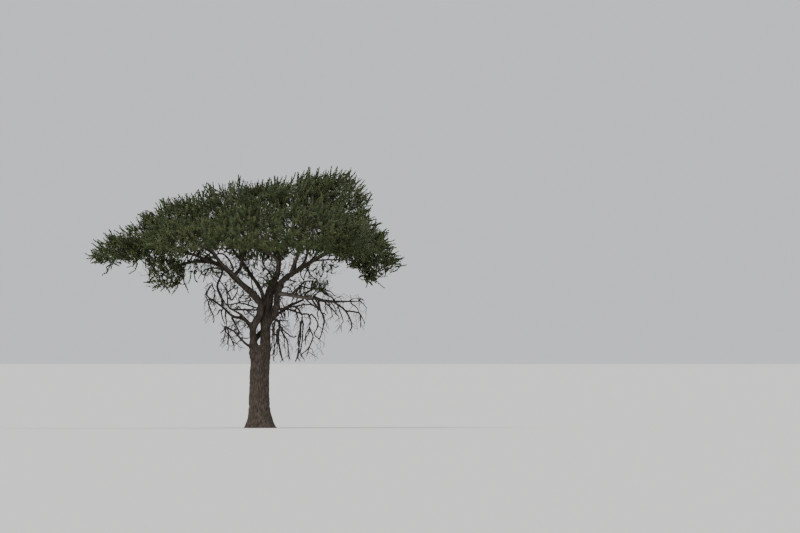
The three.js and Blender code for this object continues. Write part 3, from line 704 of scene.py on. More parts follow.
def tube_mesh(name, lines, sides):
    """One mesh of many closed tapering tubes, all with the same number of points."""
    paths = np.array([line for line, _ in lines])
    radii = np.array([r for _, r in lines])
    count, rings, _ = paths.shape
    onward = unit(np.gradient(paths, axis=1))
    side, other = square_to(onward, onward[:, :1])
    turn = np.linspace(0, 2 * np.pi, sides, endpoint=False)
    ring = (side[:, :, None] * np.cos(turn)[:, None] + other[:, :, None]
            * np.sin(turn)[:, None]) * radii[:, :, None, None]
    places = (paths[:, :, None] + ring).reshape(-1, 3)
    k = np.arange(sides)
    low = np.arange(rings - 1)[:, None] * sides
    quads = np.stack([low + k, low + (k + 1) % sides, low + sides + (k + 1) % sides,
                      low + sides + k], axis=-1).reshape(-1, 4)
    starts = np.arange(count)[:, None, None] * rings * sides
    quads = (quads[None] + starts).reshape(-1, 4)
    caps = np.stack([k[::-1], k + (rings - 1) * sides])[None] + starts
    caps = caps.reshape(-1, sides)
    corners = np.r_[quads.ravel(), caps.ravel()]
    sizes = np.r_[np.full(len(quads), 4), np.full(len(caps), sides)]
    return mesh_from(name, places, corners, sizes)


def mesh_from(name, places, corners, sizes):
    """A mesh straight from arrays of places, face corners and face sizes."""
    mesh = bpy.data.meshes.new(name)
    mesh.vertices.add(len(places))
    mesh.vertices.foreach_set("co", np.ascontiguousarray(places, np.float32).ravel())
    mesh.loops.add(len(corners))
    mesh.loops.foreach_set("vertex_index", corners.astype(np.int32))
    mesh.polygons.add(len(sizes))
    mesh.polygons.foreach_set("loop_start", np.r_[0, np.cumsum(sizes)[:-1]].astype(np.int32))
    mesh.update(calc_edges=True)
    piece = bpy.data.objects.new(name, mesh)
    SCENE.collection.objects.link(piece)
    return piece


# %% [markdown]
# ## The outline of the crown
#
# Seen from in front the crown has a stepped top edge, an underside that hangs at both ends and
# gaps that the sky shows through. From the middle it falls away to the front and to the back,
# like an umbrella. Leaves and twigs both keep to this outline.

# %% How closely leafed the crown is
FRONT, BACK = -3.74, 3.66  # the foremost and rearmost tips
SIDE_DROP = 0.13  # how far the top falls to the front and the back, per square metre
END_FADE = 0.5  # over how much of its depth the crown thins out to the front and back
# The next two lines are in millimetres, as the lists below them are
FRINGE_HEIGHT = 110  # how far the fingers along the top edge stand above the close leaves
TOP_FADE, UNDER_FADE = 60, 300  # over what height the crown thins out there
FEW_LEFT = 0.12  # the share of the shoots that is left under the underside
# The height of the crown's top edge, and the line under it below which only thin twigs and
# few leaves are left, at places across the crown.
TOP_EDGE = [(-5150, 5250), (-5036, 5557), (-4790, 5740), (-4577, 5925), (-4240, 6050),
            (-3930, 6080), (-3750, 6270), (-3540, 6450), (-3140, 6600), (-2985, 6873),
            (-2620, 6966), (-1940, 7030), (-1700, 7333), (-900, 7380), (-650, 7570),
            (-300, 7370), (0, 7370), (300, 7510), (600, 7570), (900, 7520), (1300, 7790),
            (2160, 7800), (2740, 7730), (2950, 7450), (3280, 7270), (3330, 6450),
            (3500, 6230), (3680, 6030), (3880, 5830), (3990, 5600), (4120, 5250),
            (4300, 4900)]
UNDERSIDE = [(-5200, 4850), (-4100, 4950), (-3700, 5080), (-3420, 4900), (-3200, 4350),
             (-2900, 4350), (-2600, 4560), (-2100, 4750), (-1500, 5050), (-400, 5050),
             (900, 5050), (1700, 4950), (2400, 4980), (2900, 4850), (3050, 4450),
             (3250, 4250), (3600, 4250), (3750, 4750), (4300, 4800)]
# Where the sky shows: across and up, how wide, and the share of the shoots left in its middle.
SKY_GAPS = [(-1420, 6480, 260, 0.35), (-520, 5900, 170, 0.2), (1340, 6250, 260, 0.5),
            (1900, 6280, 200, 0.4), (-2340, 5560, 260, 0.25), (800, 6770, 200, 0.3),
            (450, 6650, 160, 0.4), (-1550, 5280, 220, 0.12), (-1050, 5130, 230, 0.12),
            (-250, 5320, 200, 0.12), (1000, 6250, 280, 0.5), (-2150, 5200, 200, 0.12),
            (-850, 5400, 130, 0.12), (950, 5080, 210, 0.12), (-2600, 5700, 200, 0.3),
            (300, 6150, 250, 0.4), (1500, 6750, 220, 0.5), (1700, 5800, 300, 0.5),
            (500, 5700, 250, 0.45), (1150, 5600, 200, 0.45), (-1900, 5750, 250, 0.45),
            (2900, 6680, 350, 0.4), (100, 6000, 800, 0.6), (1300, 6000, 800, 0.55),
            (-1900, 5350, 450, 0.4), (-2650, 5380, 350, 0.5), (-1000, 5400, 450, 0.5)]
GAP_EDGE = 3  # how steeply the leaves come back towards the edge of a gap


def beside_gaps(points):
    """The share of the shoots that is left near the gaps, through the whole crown."""
    share = np.ones(len(points))
    for gap_x, gap_z, radius, left in SKY_GAPS:
        away = np.hypot(points[:, 0] / MM - gap_x, points[:, 2] / MM - gap_z) / radius
        share *= np.clip(away ** GAP_EDGE, left, 1)
    return share


def leafiness(points):
    """How closely leafed the crown is at each point, as seen from in front."""
    x, z = points[:, 0] / MM, points[:, 2] / MM
    share = beside_gaps(points)
    top = np.interp(x, *np.array(TOP_EDGE).T)
    under = np.interp(x, *np.array(UNDERSIDE).T)
    top = top - SIDE_DROP * points[:, 1] ** 2 / MM - FRINGE_HEIGHT
    share *= np.clip((top - z) / TOP_FADE + 0.5, 0, 1)
    share *= np.clip((points[:, 1] - FRONT) / END_FADE, 0, 1)
    share *= np.clip((BACK - points[:, 1]) / END_FADE, 0, 1)
    return share * np.clip((z - under) / UNDER_FADE + 0.5, FEW_LEFT, 1)


# %% [markdown]
# ## Branches and twigs inside the leafy masses
#
# Each mass grows three ranks of wood: a few branches to goals half way out, twigs to goals
# near its edge and in its depth, and fine twigs that bring wood within a shoot's length of
# every place that carries leaves. Each goal is the loneliest of a few random places, so that
# the twigs share out the room as evenly as real ones share the light.

# %% Grow the wood of the leafy masses
# Twigs in a cubic metre, how far out in the mass their goals lie, and their radius
RANKS = [(3, 0.6, 0.018), (12, 0.85, 0.011), (44, 0.93, 0.007)]
FEWEST_TWIGS = 4
IN_SPARSE = 2.5  # a sparse mass has so many times as many twigs
TWIG_TAPER = 0.5
BEYOND = 0.1  # places less leafy than this are outside the crown
UNDER_SHOOTS = np.array([0, 0, 0.14])  # how far twigs stop under the crown's top edge
POOL = 6  # random places for each goal that is chosen from them
TRIES = 12  # how many of them are compared for a goal
SAMPLES = 4000  # how many places are tried to find a volume


def places_in(space, count, far, swell=1.0, over=0.0):
    """Random places in a space, up to this share of the way to its edge."""
    found = np.zeros((0, 3))
    while len(found) < count:
        tries = random.uniform(-swell, swell, (4 * count + 50, 3)) * space.reach
        tries += space.centre
        found = np.vstack([found, tries[space.holds(tries, far, swell, over)]])
    return found[:count]


def spread_goals(space, count, far):
    """Places in a space that keep clear of each other."""
    pool = places_in(space, POOL * count, far)
    goals = [pool[0]]
    gaps = np.linalg.norm(pool - goals[0], axis=1)
    for _ in range(1, count):
        tries = random.integers(0, len(pool), TRIES)
        best = tries[np.argmax(gaps[tries])]
        goals.append(pool[best])
        gaps = np.minimum(gaps, np.linalg.norm(pool - pool[best], axis=1))
    return np.array(goals)


def volume_of(space):
    tries = random.uniform(-1, 1, (SAMPLES, 3)) * space.reach + space.centre
    return 8 * np.prod(space.reach) * space.holds(tries).mean()


LIMB_FOR = {carries: name for name, _, _, _, carries in LIMBS if carries}
VOLUMES = {mass: volume_of(SPACES[mass]) for mass in LEAFY}
growths = {}
for mass, (kind, *_) in LEAFY.items():
    space = SPACES[mass]
    path, radii = GROWN[LIMB_FOR[mass]]
    inside = space.holds(path)
    inside[-3:] = True
    growth = Growth(path[inside], radii[inside])
    room = VOLUMES[mass] if kind == "dense" else VOLUMES[mass] * IN_SPARSE
    for count, far, thick in RANKS:
        goals = spread_goals(space, max(FEWEST_TWIGS, int(count * room)), far)
        goals = goals[leafiness(goals + UNDER_SHOOTS) > BEYOND]
        order = np.argsort(np.linalg.norm(goals - path[-1], axis=1))
        for goal in goals[order]:
            growth.reach(goal, thick, thick * TWIG_TAPER, space)
    growths[mass] = growth
print("leafy room", round(sum(VOLUMES.values()), 1), "m3, twigs in the crown",
      sum(len(g.lines) for g in growths.values()))

# %% [markdown]
# Under the masses the crown doesn't stop at once. Between the boughs there is a thin growth of
# arching twigs with a few leaves, and it hides the underside of each mass. It is grown in rooms
# of its own, from whichever wood is nearest. Rooms whose shoots count as near the surface lie
# along the edge of the crown, where the picture shows it thick, and the seam rooms fill the
# crown between its middle and its front and back.

# %% Grow the thin wood between the boughs
# name: centre, reach, twigs and shoots in a cubic metre, how deep the shoots count as
ROOMS = {
    "over_far_left": ((-4230, 0, 5640), (600, 700, 330), 50, 330, 0.2),
    "over_shoulder": ((-3300, 0, 6280), (460, 900, 330), 50, 270, 0.2),
    "over_left": ((-2300, 0, 6640), (760, 900, 340), 50, 260, 0.2),
    "over_middle": ((150, 0, 7120), (1000, 900, 370), 50, 200, 0.2),
    "over_right": ((1850, 0, 7390), (1150, 900, 350), 50, 200, 0.2),
    "inside_right_top": ((1950, -50, 6950), (800, 500, 230), 30, 250, 0.8),
    "under_far_left": ((-4330, 0, 5310), (540, 600, 240), 50, 400, 0.4),
    "left_waist": ((-3700, 0, 5480), (460, 800, 420), 50, 420, 0.6),
    "seam_front_left": ((-1400, -1000, 5950), (1300, 400, 450), 30, 230, 1.0),
    "seam_front_right": ((1600, -1150, 5900), (1300, 400, 450), 30, 260, 1.0),
    "seam_back_left": ((-1600, 1200, 5950), (1300, 400, 450), 30, 200, 1.0),
    "seam_back_right": ((1700, 1250, 5900), (1200, 400, 450), 30, 220, 1.0),
    "right_droop": ((3340, -50, 4600), (340, 450, 420), 50, 300, 0.2),
    "right_point": ((3880, -50, 5090), (340, 400, 240), 50, 420, 0.2),
    "right_rim": ((3650, 0, 5760), (270, 500, 330), 50, 380, 0.2),
    "left_hang": ((-2650, -60, 4400), (750, 450, 400), 60, 90, 0.2),
    "under_middle": ((-250, 0, 4930), (1850, 650, 430), 60, 60, 1.0),
    "between_boughs": ((180, -20, 4780), (680, 320, 340), 270, 100, 1.0),
    "left_hollow": ((-1550, 0, 4830), (720, 450, 270), 110, 150, 1.0),
    "under_left": ((-2750, 0, 5080), (950, 700, 380), 50, 160, 1.0),
    "under_right": ((1900, 0, 4850), (800, 550, 300), 50, 90, 1.0),
    "under_edge": ((3100, 0, 5100), (600, 600, 300), 30, 190, 1.0),
    "right_of_stem": ((1330, -80, 4300), (640, 330, 400), 260, 260, 1.0),
    "stem_cluster": ((1850, -170, 4350), (350, 280, 290), 330, 850, 0.5),
    "fork_cluster": ((180, -20, 4420), (260, 220, 260), 600, 700, 1.0),
    "left_of_stem": ((-950, -50, 4500), (520, 300, 380), 170, 40, 1.0),
    "inside_left_bough": ((-480, -60, 4720), (430, 260, 240), 240, 90, 1.0),
    "between_left": ((-300, -60, 3680), (250, 180, 300), 500, 0, 1.0),
    "between_right": ((720, 0, 3560), (230, 180, 280), 220, 0, 1.0),
    "on_dead_limb": ((1800, -130, 3790), (700, 230, 360), 210, 0, 1.0),
}
ROOM_POWER = 4
ROOM_RADIUS = 0.012
ROOM_KINK = 0.07
ROOM_LONGEST = 0.6
WOOD_AROUND = 1.35  # wood this far round a room may send twigs into it
FRINGE_DEPTH = 0.45  # how deep under the surface the crown is as closely leafed as it gets
EDGE_ROOM = 0.75  # at the edge of the crown the twigs stop short, and only the shoots go on
limbs_and_twigs = list(GROWN.values()) + [(g.points, g.radii) for g in growths.values()]
wood_points = np.vstack([points for points, _ in limbs_and_twigs])
wood_radii = np.concatenate([radii for _, radii in limbs_and_twigs])
for name, (centre, reach, twigs, amount, depth) in ROOMS.items():
    space = Space(centre, reach, ROOM_POWER)
    SPACES[name] = space
    VOLUMES[name] = volume_of(space)
    near = space.holds(wood_points, WOOD_AROUND)
    growth = Growth(wood_points[near], wood_radii[near])
    far = EDGE_ROOM if amount and depth < FRINGE_DEPTH else 1.0
    for goal in spread_goals(space, int(twigs * VOLUMES[name]), far):
        growth.reach(growth.nearer(goal, ROOM_LONGEST), ROOM_RADIUS,
                     ROOM_RADIUS * TWIG_TAPER, space, kink=ROOM_KINK)
    growths[name] = growth
print("twigs between the boughs", sum(len(growths[name].lines) for name in ROOMS))

# %% [markdown]
# ## Shoots
#
# The leaves of this tree sit on short shoots, a hand or two long, that sweep outwards and turn
# up at their ends like fingers; under the crown they hang. They make the feathery edge that
# shows against the sky. The tip of each shoot is a random place in the mass, sparser towards
# its edge so that the outermost fingers stand apart. The shoot bends to it from the nearest
# wood, and it is left out where the crown is open to the sky.

# %% Place the shoots
SHOOTS_PER_M3 = 145
FRINGE = 1.2  # the outermost tips against the space of their mass
OVERLAP = 0.15  # how far shoots reach in among those of the next mass
# How many shoots are left at depths under the surface of the crown
FRINGE_DEPTHS = [0, 0.12, 0.28, FRINGE_DEPTH]
FRINGE_SHARES = [0.1, 0.3, 0.55, 1.0]
FINGER_DEPTHS = np.array([0.14, 0.24])  # nearer the surface than these, more leaves on a shoot
CROWN_LEAN = [1 / 4.6, 1 / 3.6, 0]  # deep in the crown a shoot leans with the whole crown
CROWN_RISE = 0.8
EDGE_REACH = 1.3  # so far in, against the fringe, shoots lean out of their own mass too
HANGS_UNDER = -0.4  # so low in its mass a shoot turns down instead of up
TURNED = 0.3  # how much shoots turn up at the edge, or down where they hang
STRAY = 0.3  # how far shoots stray from their direction
SHOOT_LENGTHS = (0.24, 0.36)
FINGER_EXTRA = 0.1  # how much longer the fingers at the edge are
WOOD_WITHIN = 0.36  # a shoot further than this from any wood is left out
BEND_AT = 0.3
SAG = np.array([0, 0, 0.045])  # how far the middle of a finger sags, which turns its end up
SHOOT_KNOTS = np.array([0, 0.4, 0.75, 1.0])  # how far along a shoot its four points are


def chance(share):
    """Says yes to this share of the places, by chance."""
    return random.uniform(0, 1, len(share)) < share


def shoot_tips(mass):
    """Tips of shoots and how deep they are; fewer at the edge and where sky shows."""
    space = SPACES[mass]
    count = int(SHOOTS_PER_M3 * VOLUMES[mass] * LEAFY[mass][5])
    tips = places_in(space, count * 2, 1.0, FRINGE, OVERLAP)
    out = tips - space.centre
    depth = FRINGE * space.oval(unit(out)) - np.linalg.norm(out, axis=1)
    keep = chance(np.interp(depth, FRINGE_DEPTHS, FRINGE_SHARES) * leafiness(tips))
    return tips[keep][:count], depth[keep][:count]


def shoots_of(mass, tips, depth):
    """Lines of four points for the shoots with these tips, and how deep each is."""
    space, growth = SPACES[mass], growths[mass]
    inner = tips * CROWN_LEAN
    inner[:, 2] = CROWN_RISE
    place = (tips - space.centre) / space.reach
    outer = unit(np.sign(place) * np.abs(place) ** (space.power - 1) / space.reach)
    outer[:, 2] = np.where(place[:, 2] < HANGS_UNDER, outer[:, 2] * 0.5 - TURNED,
                           outer[:, 2] + TURNED)
    at_edge = np.clip(EDGE_REACH - depth / FRINGE_DEPTH, 0, 1)[:, None]
    heading = unit(inner * (1 - at_edge) + outer * at_edge
                   + random.normal(0, STRAY, place.shape))
    length = random.uniform(*SHOOT_LENGTHS, len(tips))[:, None] + FINGER_EXTRA * at_edge
    feet = tips - heading * length
    bends = feet + heading * length * BEND_AT - SAG * at_edge
    lines, depths = [], []
    for tip, foot, bend, deep in zip(tips, feet, bends, depth):
        away = np.linalg.norm(growth.points - foot, axis=1)
        if away.min() < WOOD_WITHIN:
            times = 1 + sum(deep < FINGER_DEPTHS)
            lines += [[growth.points[np.argmin(away)], bend, tip]] * times
            depths += [deep] * times
    first, bend, last = np.split(np.array(lines), 3, axis=1)
    return arch(first, bend, last, SHOOT_KNOTS[:, None]), np.array(depths)


shoots = {mass: shoots_of(mass, *shoot_tips(mass)) for mass in LEAFY}
for name, (*_, amount, depth) in ROOMS.items():
    if amount:
        space = SPACES[name]
        tips = places_in(space, int(VOLUMES[name] * amount), 1.0)
        out = (((tips - space.centre) / space.reach) ** 2).sum(1)
        tips = tips[~chance(out)]
        tips = tips[chance(beside_gaps(tips))]
        shoots[name] = shoots_of(name, tips, np.full(len(tips), depth))
print("shoots in the masses and rooms", sum(len(lines) for lines, _ in shoots.values()))

# %% [markdown]
# The outline has shoots of its own. Fingers stand all along the top edge, one behind the other
# near the middle of the crown. Long hooked shoots stand apart at both ends of the crown, and
# these follow the picture: each is three places across and up, in millimetres.

# %% Place the fingers and the hooks
EDGE_FINGERS = 260
EDGE_DEPTH = 0.1  # how deep under the surface they count as
IN_A_BAND = 0.45  # how far to the front and the back they stand
OFF_THE_EDGE = (-0.04, 0.02)  # how far in or out, against the way from the middle of the crown
RIGHT_FROM = 1.3  # fingers further right than this lean out from a middle of their own
HOOK_BAND = (-0.25, 0.15)  # how far in front of or behind the middle hooks stand
LEAVES_ON_HOOK = 4  # a hook has so many times the leaves of a shoot
HOOKS = {"left_hooks": [
    ((-4467, 4899), (-4560, 4686), (-4725, 4600)), ((-4590, 4860), (-4575, 4750), (-4600, 4650)),
    ((-3690, 4974), (-3800, 4860), (-3978, 4821)), ((-3663, 4917), (-3730, 4730), (-3921, 4629)),
    ((-2973, 4323), (-3051, 4191), (-3222, 4122)), ((-3012, 4305), (-3180, 4225), (-3405, 4257)),
    ((-3222, 4515), (-3279, 4419), (-3370, 4385)), ((-3150, 4420), (-3300, 4360), (-3471, 4371)),
    ((-4713, 5280), (-4866, 5415), (-5040, 5547)), ((-4695, 5166), (-4905, 5262), (-5067, 5346)),
    ((-4695, 5052), (-4900, 5070), (-5115, 5136)), ((-4713, 4974), (-4890, 4945), (-5010, 4974)),
    ((-2342, 4703), (-2403, 4397), (-2648, 3990)), ((-2327, 4703), (-2296, 4428), (-2143, 4060)),
    ((-2066, 4734), (-2066, 4520), (-2143, 4351)), ((-2005, 4641), (-1959, 4428), (-1883, 4382)),
    ((-2801, 4581), (-2801, 4244), (-2709, 4060)), ((-2954, 4581), (-2893, 4305), (-2801, 4183)),
    ((-2430, 4500), (-2450, 4250), (-2610, 4040)), ((-2370, 4560), (-2480, 4330), (-2730, 4130)),
    ((-2340, 4560), (-2270, 4330), (-2170, 4160)), ((-2840, 4420), (-2850, 4230), (-2980, 4110)),
], "right_hooks": [
    ((3435, 4461), (3597, 4299), (3729, 4200)), ((3954, 4980), (4119, 4917), (4281, 4869)),
    ((4086, 5046), (4215, 5046), (4320, 5120)), ((3759, 4818), (3777, 4689), (3753, 4575)),
    ((3207, 4494), (3240, 4362), (3192, 4233)), ((2100, 4917), (2166, 4785), (2133, 4641)),
]}
edge = np.array(TOP_EDGE) * MM
along_edge = lengths_along(edge)
place = random.uniform(0, along_edge[-1], EDGE_FINGERS)
tips = np.zeros((EDGE_FINGERS, 3))
tips[:, 1] = random.normal(0, IN_A_BAND, EDGE_FINGERS)
tips[:, ::2] = columns_at(place, along_edge, edge)
tips[:, 2] -= SIDE_DROP * tips[:, 1] ** 2
SPACES["top_edge"] = Space((-300, 0, 5000), (3800, 3700, 2700), 2)
SPACES["right_edge"] = Space((500, 0, 5700), (3000, 3000, 3000), 2)
outward = tips - SPACES["top_edge"].centre
tips += outward * random.uniform(*OFF_THE_EDGE, (EDGE_FINGERS, 1))
tips = tips[chance(beside_gaps(tips))]
at_right = tips[:, 0] > RIGHT_FROM
wood = np.vstack([growth.points for growth in growths.values()])
for name, own in (("top_edge", tips[~at_right]), ("right_edge", tips[at_right])):
    growths[name] = Growth(wood, np.zeros(len(wood)))
    shoots[name] = shoots_of(name, own, np.full(len(own), EDGE_DEPTH))
for name, hooks in HOOKS.items():
    lines = []
    for places in hooks:
        y = random.uniform(*HOOK_BAND)
        line = [np.array([x * MM, y, z * MM]) for x, z in places]
        lines += [[nearest_point(wood, line[0]), *line]] * LEAVES_ON_HOOK
    shoots[name] = (np.array(lines), np.zeros(len(lines)))
print("shoots", sum(len(lines) for lines, _ in shoots.values()))

# %% [markdown]
# ## Leaves
#
# An acacia's leaf is a feather of tiny leaflets. At this size one slim blade stands for a
# feather: five corners in its outline and three faces, folded a little along its middle.
# The blades stand round the outer part of each shoot at the golden angle and get shorter
# towards its tip. On the fingers at the crown's edge they lie close along the shoot, and deep
# in the crown they spread, so that it is as full from above as from the side.

# %% Leaves from arrays
LEAVES_PER_SHOOT = 17
LEAF_LENGTH = 0.055
LEAF_WIDTH = 0.034
LEAFY_LENGTH = 0.38  # how far down a shoot its leaves begin
LEAF_TONES = 5
SPREAD = 0.4  # how far a blade leans along its shoot deep in the crown, against the edge
BLADE_SIZES = (0.85, 1.15)
FOOT_SIZE, TIP_SHRINK = 1.05, 0.2  # blades get smaller towards the tip of their shoot
LEAVES_BEGIN = (0.08, 0.9)  # the least and the most share of a shoot under its leaves
FIRST_BLADE = 0.6  # how far above that the first blade stands, in steps between blades
GOLDEN_ANGLE, FULL_TURN = 2.399963, 6.28
FORWARD = 1.9  # how far a blade at the edge leans along its shoot
STRAY_BLADE, ROLL_BLADE = 0.12, 0.3
FOLD, DROOP = 0.5, 0.08  # against half the width and the length of a blade
# The corners of a blade: how far along it and to its side, and its share of fold and droop
BLADE = [(0, 0, 0, 0), (0.34, 1, 1, 0), (0.78, 0.75, 1, 0.5), (1, 0, 0, 1), (0.55, -1, 1, 0)]
BLADE_FACES = np.array([[0, 1, 4], [1, 2, 4], [2, 3, 4]])
STEM_RADII = np.array([0.006, 0.005, 0.0025])
REGIONS = {
    "left": ["far_left", "left_shoulder", "left_droop", "left_inner", "under_left",
             "over_far_left", "over_shoulder", "left_waist", "left_hang", "under_far_left",
             "left_hooks", "top_edge"],
    "middle_left": ["left_top", "mid_left_top", "mid_low", "under_middle", "left_of_stem",
                    "over_left", "left_hollow", "inside_left_bough"],
    "middle": ["mid_top", "mid_right_top", "under_cluster", "right_of_stem", "under_right",
               "fork_cluster", "between_boughs", "over_middle", "stem_cluster"],
    "right": ["right_top", "mid_right_low", "right_outer", "right_tip", "under_edge",
              "right_droop", "over_right", "inside_right_top", "right_point",
              "right_rim", "right_edge", "right_hooks"],
    "front_left": ["left_front", "mid_front", "seam_front_left"],
    "front_right": ["right_front", "outer_front", "seam_front_right"],
    "back_left": ["left_back", "mid_back", "seam_back_left"],
    "back_right": ["right_back", "outer_back", "seam_back_right"],
}


def leaf_mesh(name, lines, depths):
    """One mesh of all the blades on these shoots, with one of the tones for each shoot."""
    count = len(lines)
    k = np.arange(LEAVES_PER_SHOOT)
    span = np.linalg.norm(lines[:, -1] - lines[:, 0], axis=1, keepdims=True)
    begin = np.clip(1 - LEAFY_LENGTH / span, *LEAVES_BEGIN)
    along = (begin + (1 - begin) * (k + FIRST_BLADE) / LEAVES_PER_SHOOT)[..., None]
    root = np.zeros((count, LEAVES_PER_SHOOT, 3))
    for low in range(3):
        part = (along - SHOOT_KNOTS[low]) / (SHOOT_KNOTS[low + 1] - SHOOT_KNOTS[low])
        here = (part >= 0) & (part <= 1)
        root = np.where(here, lines[:, low, None] * (1 - part)
                        + lines[:, low + 1, None] * part, root)
    axis = unit(lines[:, -1] - lines[:, -2])
    side, other = square_to(axis, axis)
    turn = (k * GOLDEN_ANGLE + random.uniform(0, FULL_TURN, (count, 1)))[..., None]
    outward = side[:, None] * np.cos(turn) + other[:, None] * np.sin(turn)
    lean = FORWARD * np.interp(depths, [EDGE_DEPTH, FRINGE_DEPTH], [1, SPREAD])
    heading = unit(outward + axis[:, None] * lean[:, None, None]
                   + random.normal(0, STRAY_BLADE, outward.shape))
    rolled = axis[:, None] + random.normal(0, ROLL_BLADE, outward.shape)
    across = unit(np.cross(heading, rolled))
    above = np.cross(across, heading)
    size = random.uniform(*BLADE_SIZES, (count, LEAVES_PER_SHOOT))
    size = (size * (FOOT_SIZE - TIP_SHRINK * ((k + 0.5) / LEAVES_PER_SHOOT)))[..., None]
    length = LEAF_LENGTH * size
    half = LEAF_WIDTH / 2 * size
    fold, droop = above * (half * FOLD), above * length * DROOP
    corners = np.stack([root + heading * length * onward + across * half * aside
                        + fold * folded - droop * drooped
                        for onward, aside, folded, drooped in BLADE], axis=2).reshape(-1, 3)
    starts = np.arange(count * LEAVES_PER_SHOOT)[:, None, None] * len(BLADE)
    triangles = (BLADE_FACES + starts).reshape(-1)
    piece = mesh_from(name, corners, triangles, np.full(len(triangles) // 3, 3))
    tone = random.integers(0, LEAF_TONES, count)
    tones = np.repeat(tone, LEAVES_PER_SHOOT * len(BLADE_FACES))
    piece.data.polygons.foreach_set("material_index", tones.astype(np.int32))
    return piece


foliage = {}
for region, names in REGIONS.items():
    lines = np.vstack([shoots[mass][0] for mass in names])
    depths = np.concatenate([shoots[mass][1] for mass in names])
    foliage[region] = leaf_mesh("leaves_" + region, lines, depths)
    print(foliage[region].name, len(foliage[region].data.polygons), "faces")

twig_lines = [line for growth in growths.values() for line in growth.lines]
crown_twigs = tube_mesh("crown_twigs", twig_lines, 3)
stem_lines = [(line[[0, 1, 3]], STEM_RADII)
              for lines, _ in shoots.values() for line in np.unique(lines, axis=0)]
shoot_stems = tube_mesh("shoot_stems", stem_lines, 3)
print("twigs", len(crown_twigs.data.polygons), "shoot stems", len(shoot_stems.data.polygons))

# %% [markdown]
# ## Bare dead twigs
#
# Below the crown hang dead strands that have lost their leaves. The long ones follow the
# picture: each has its radius and a short list of places across and up, in millimetres,
# and it starts from the nearest wood. Then finer twigs grow by the same rule as in the
# crown, but hanging: a new twig starts from wood above its goal, runs out and then falls.

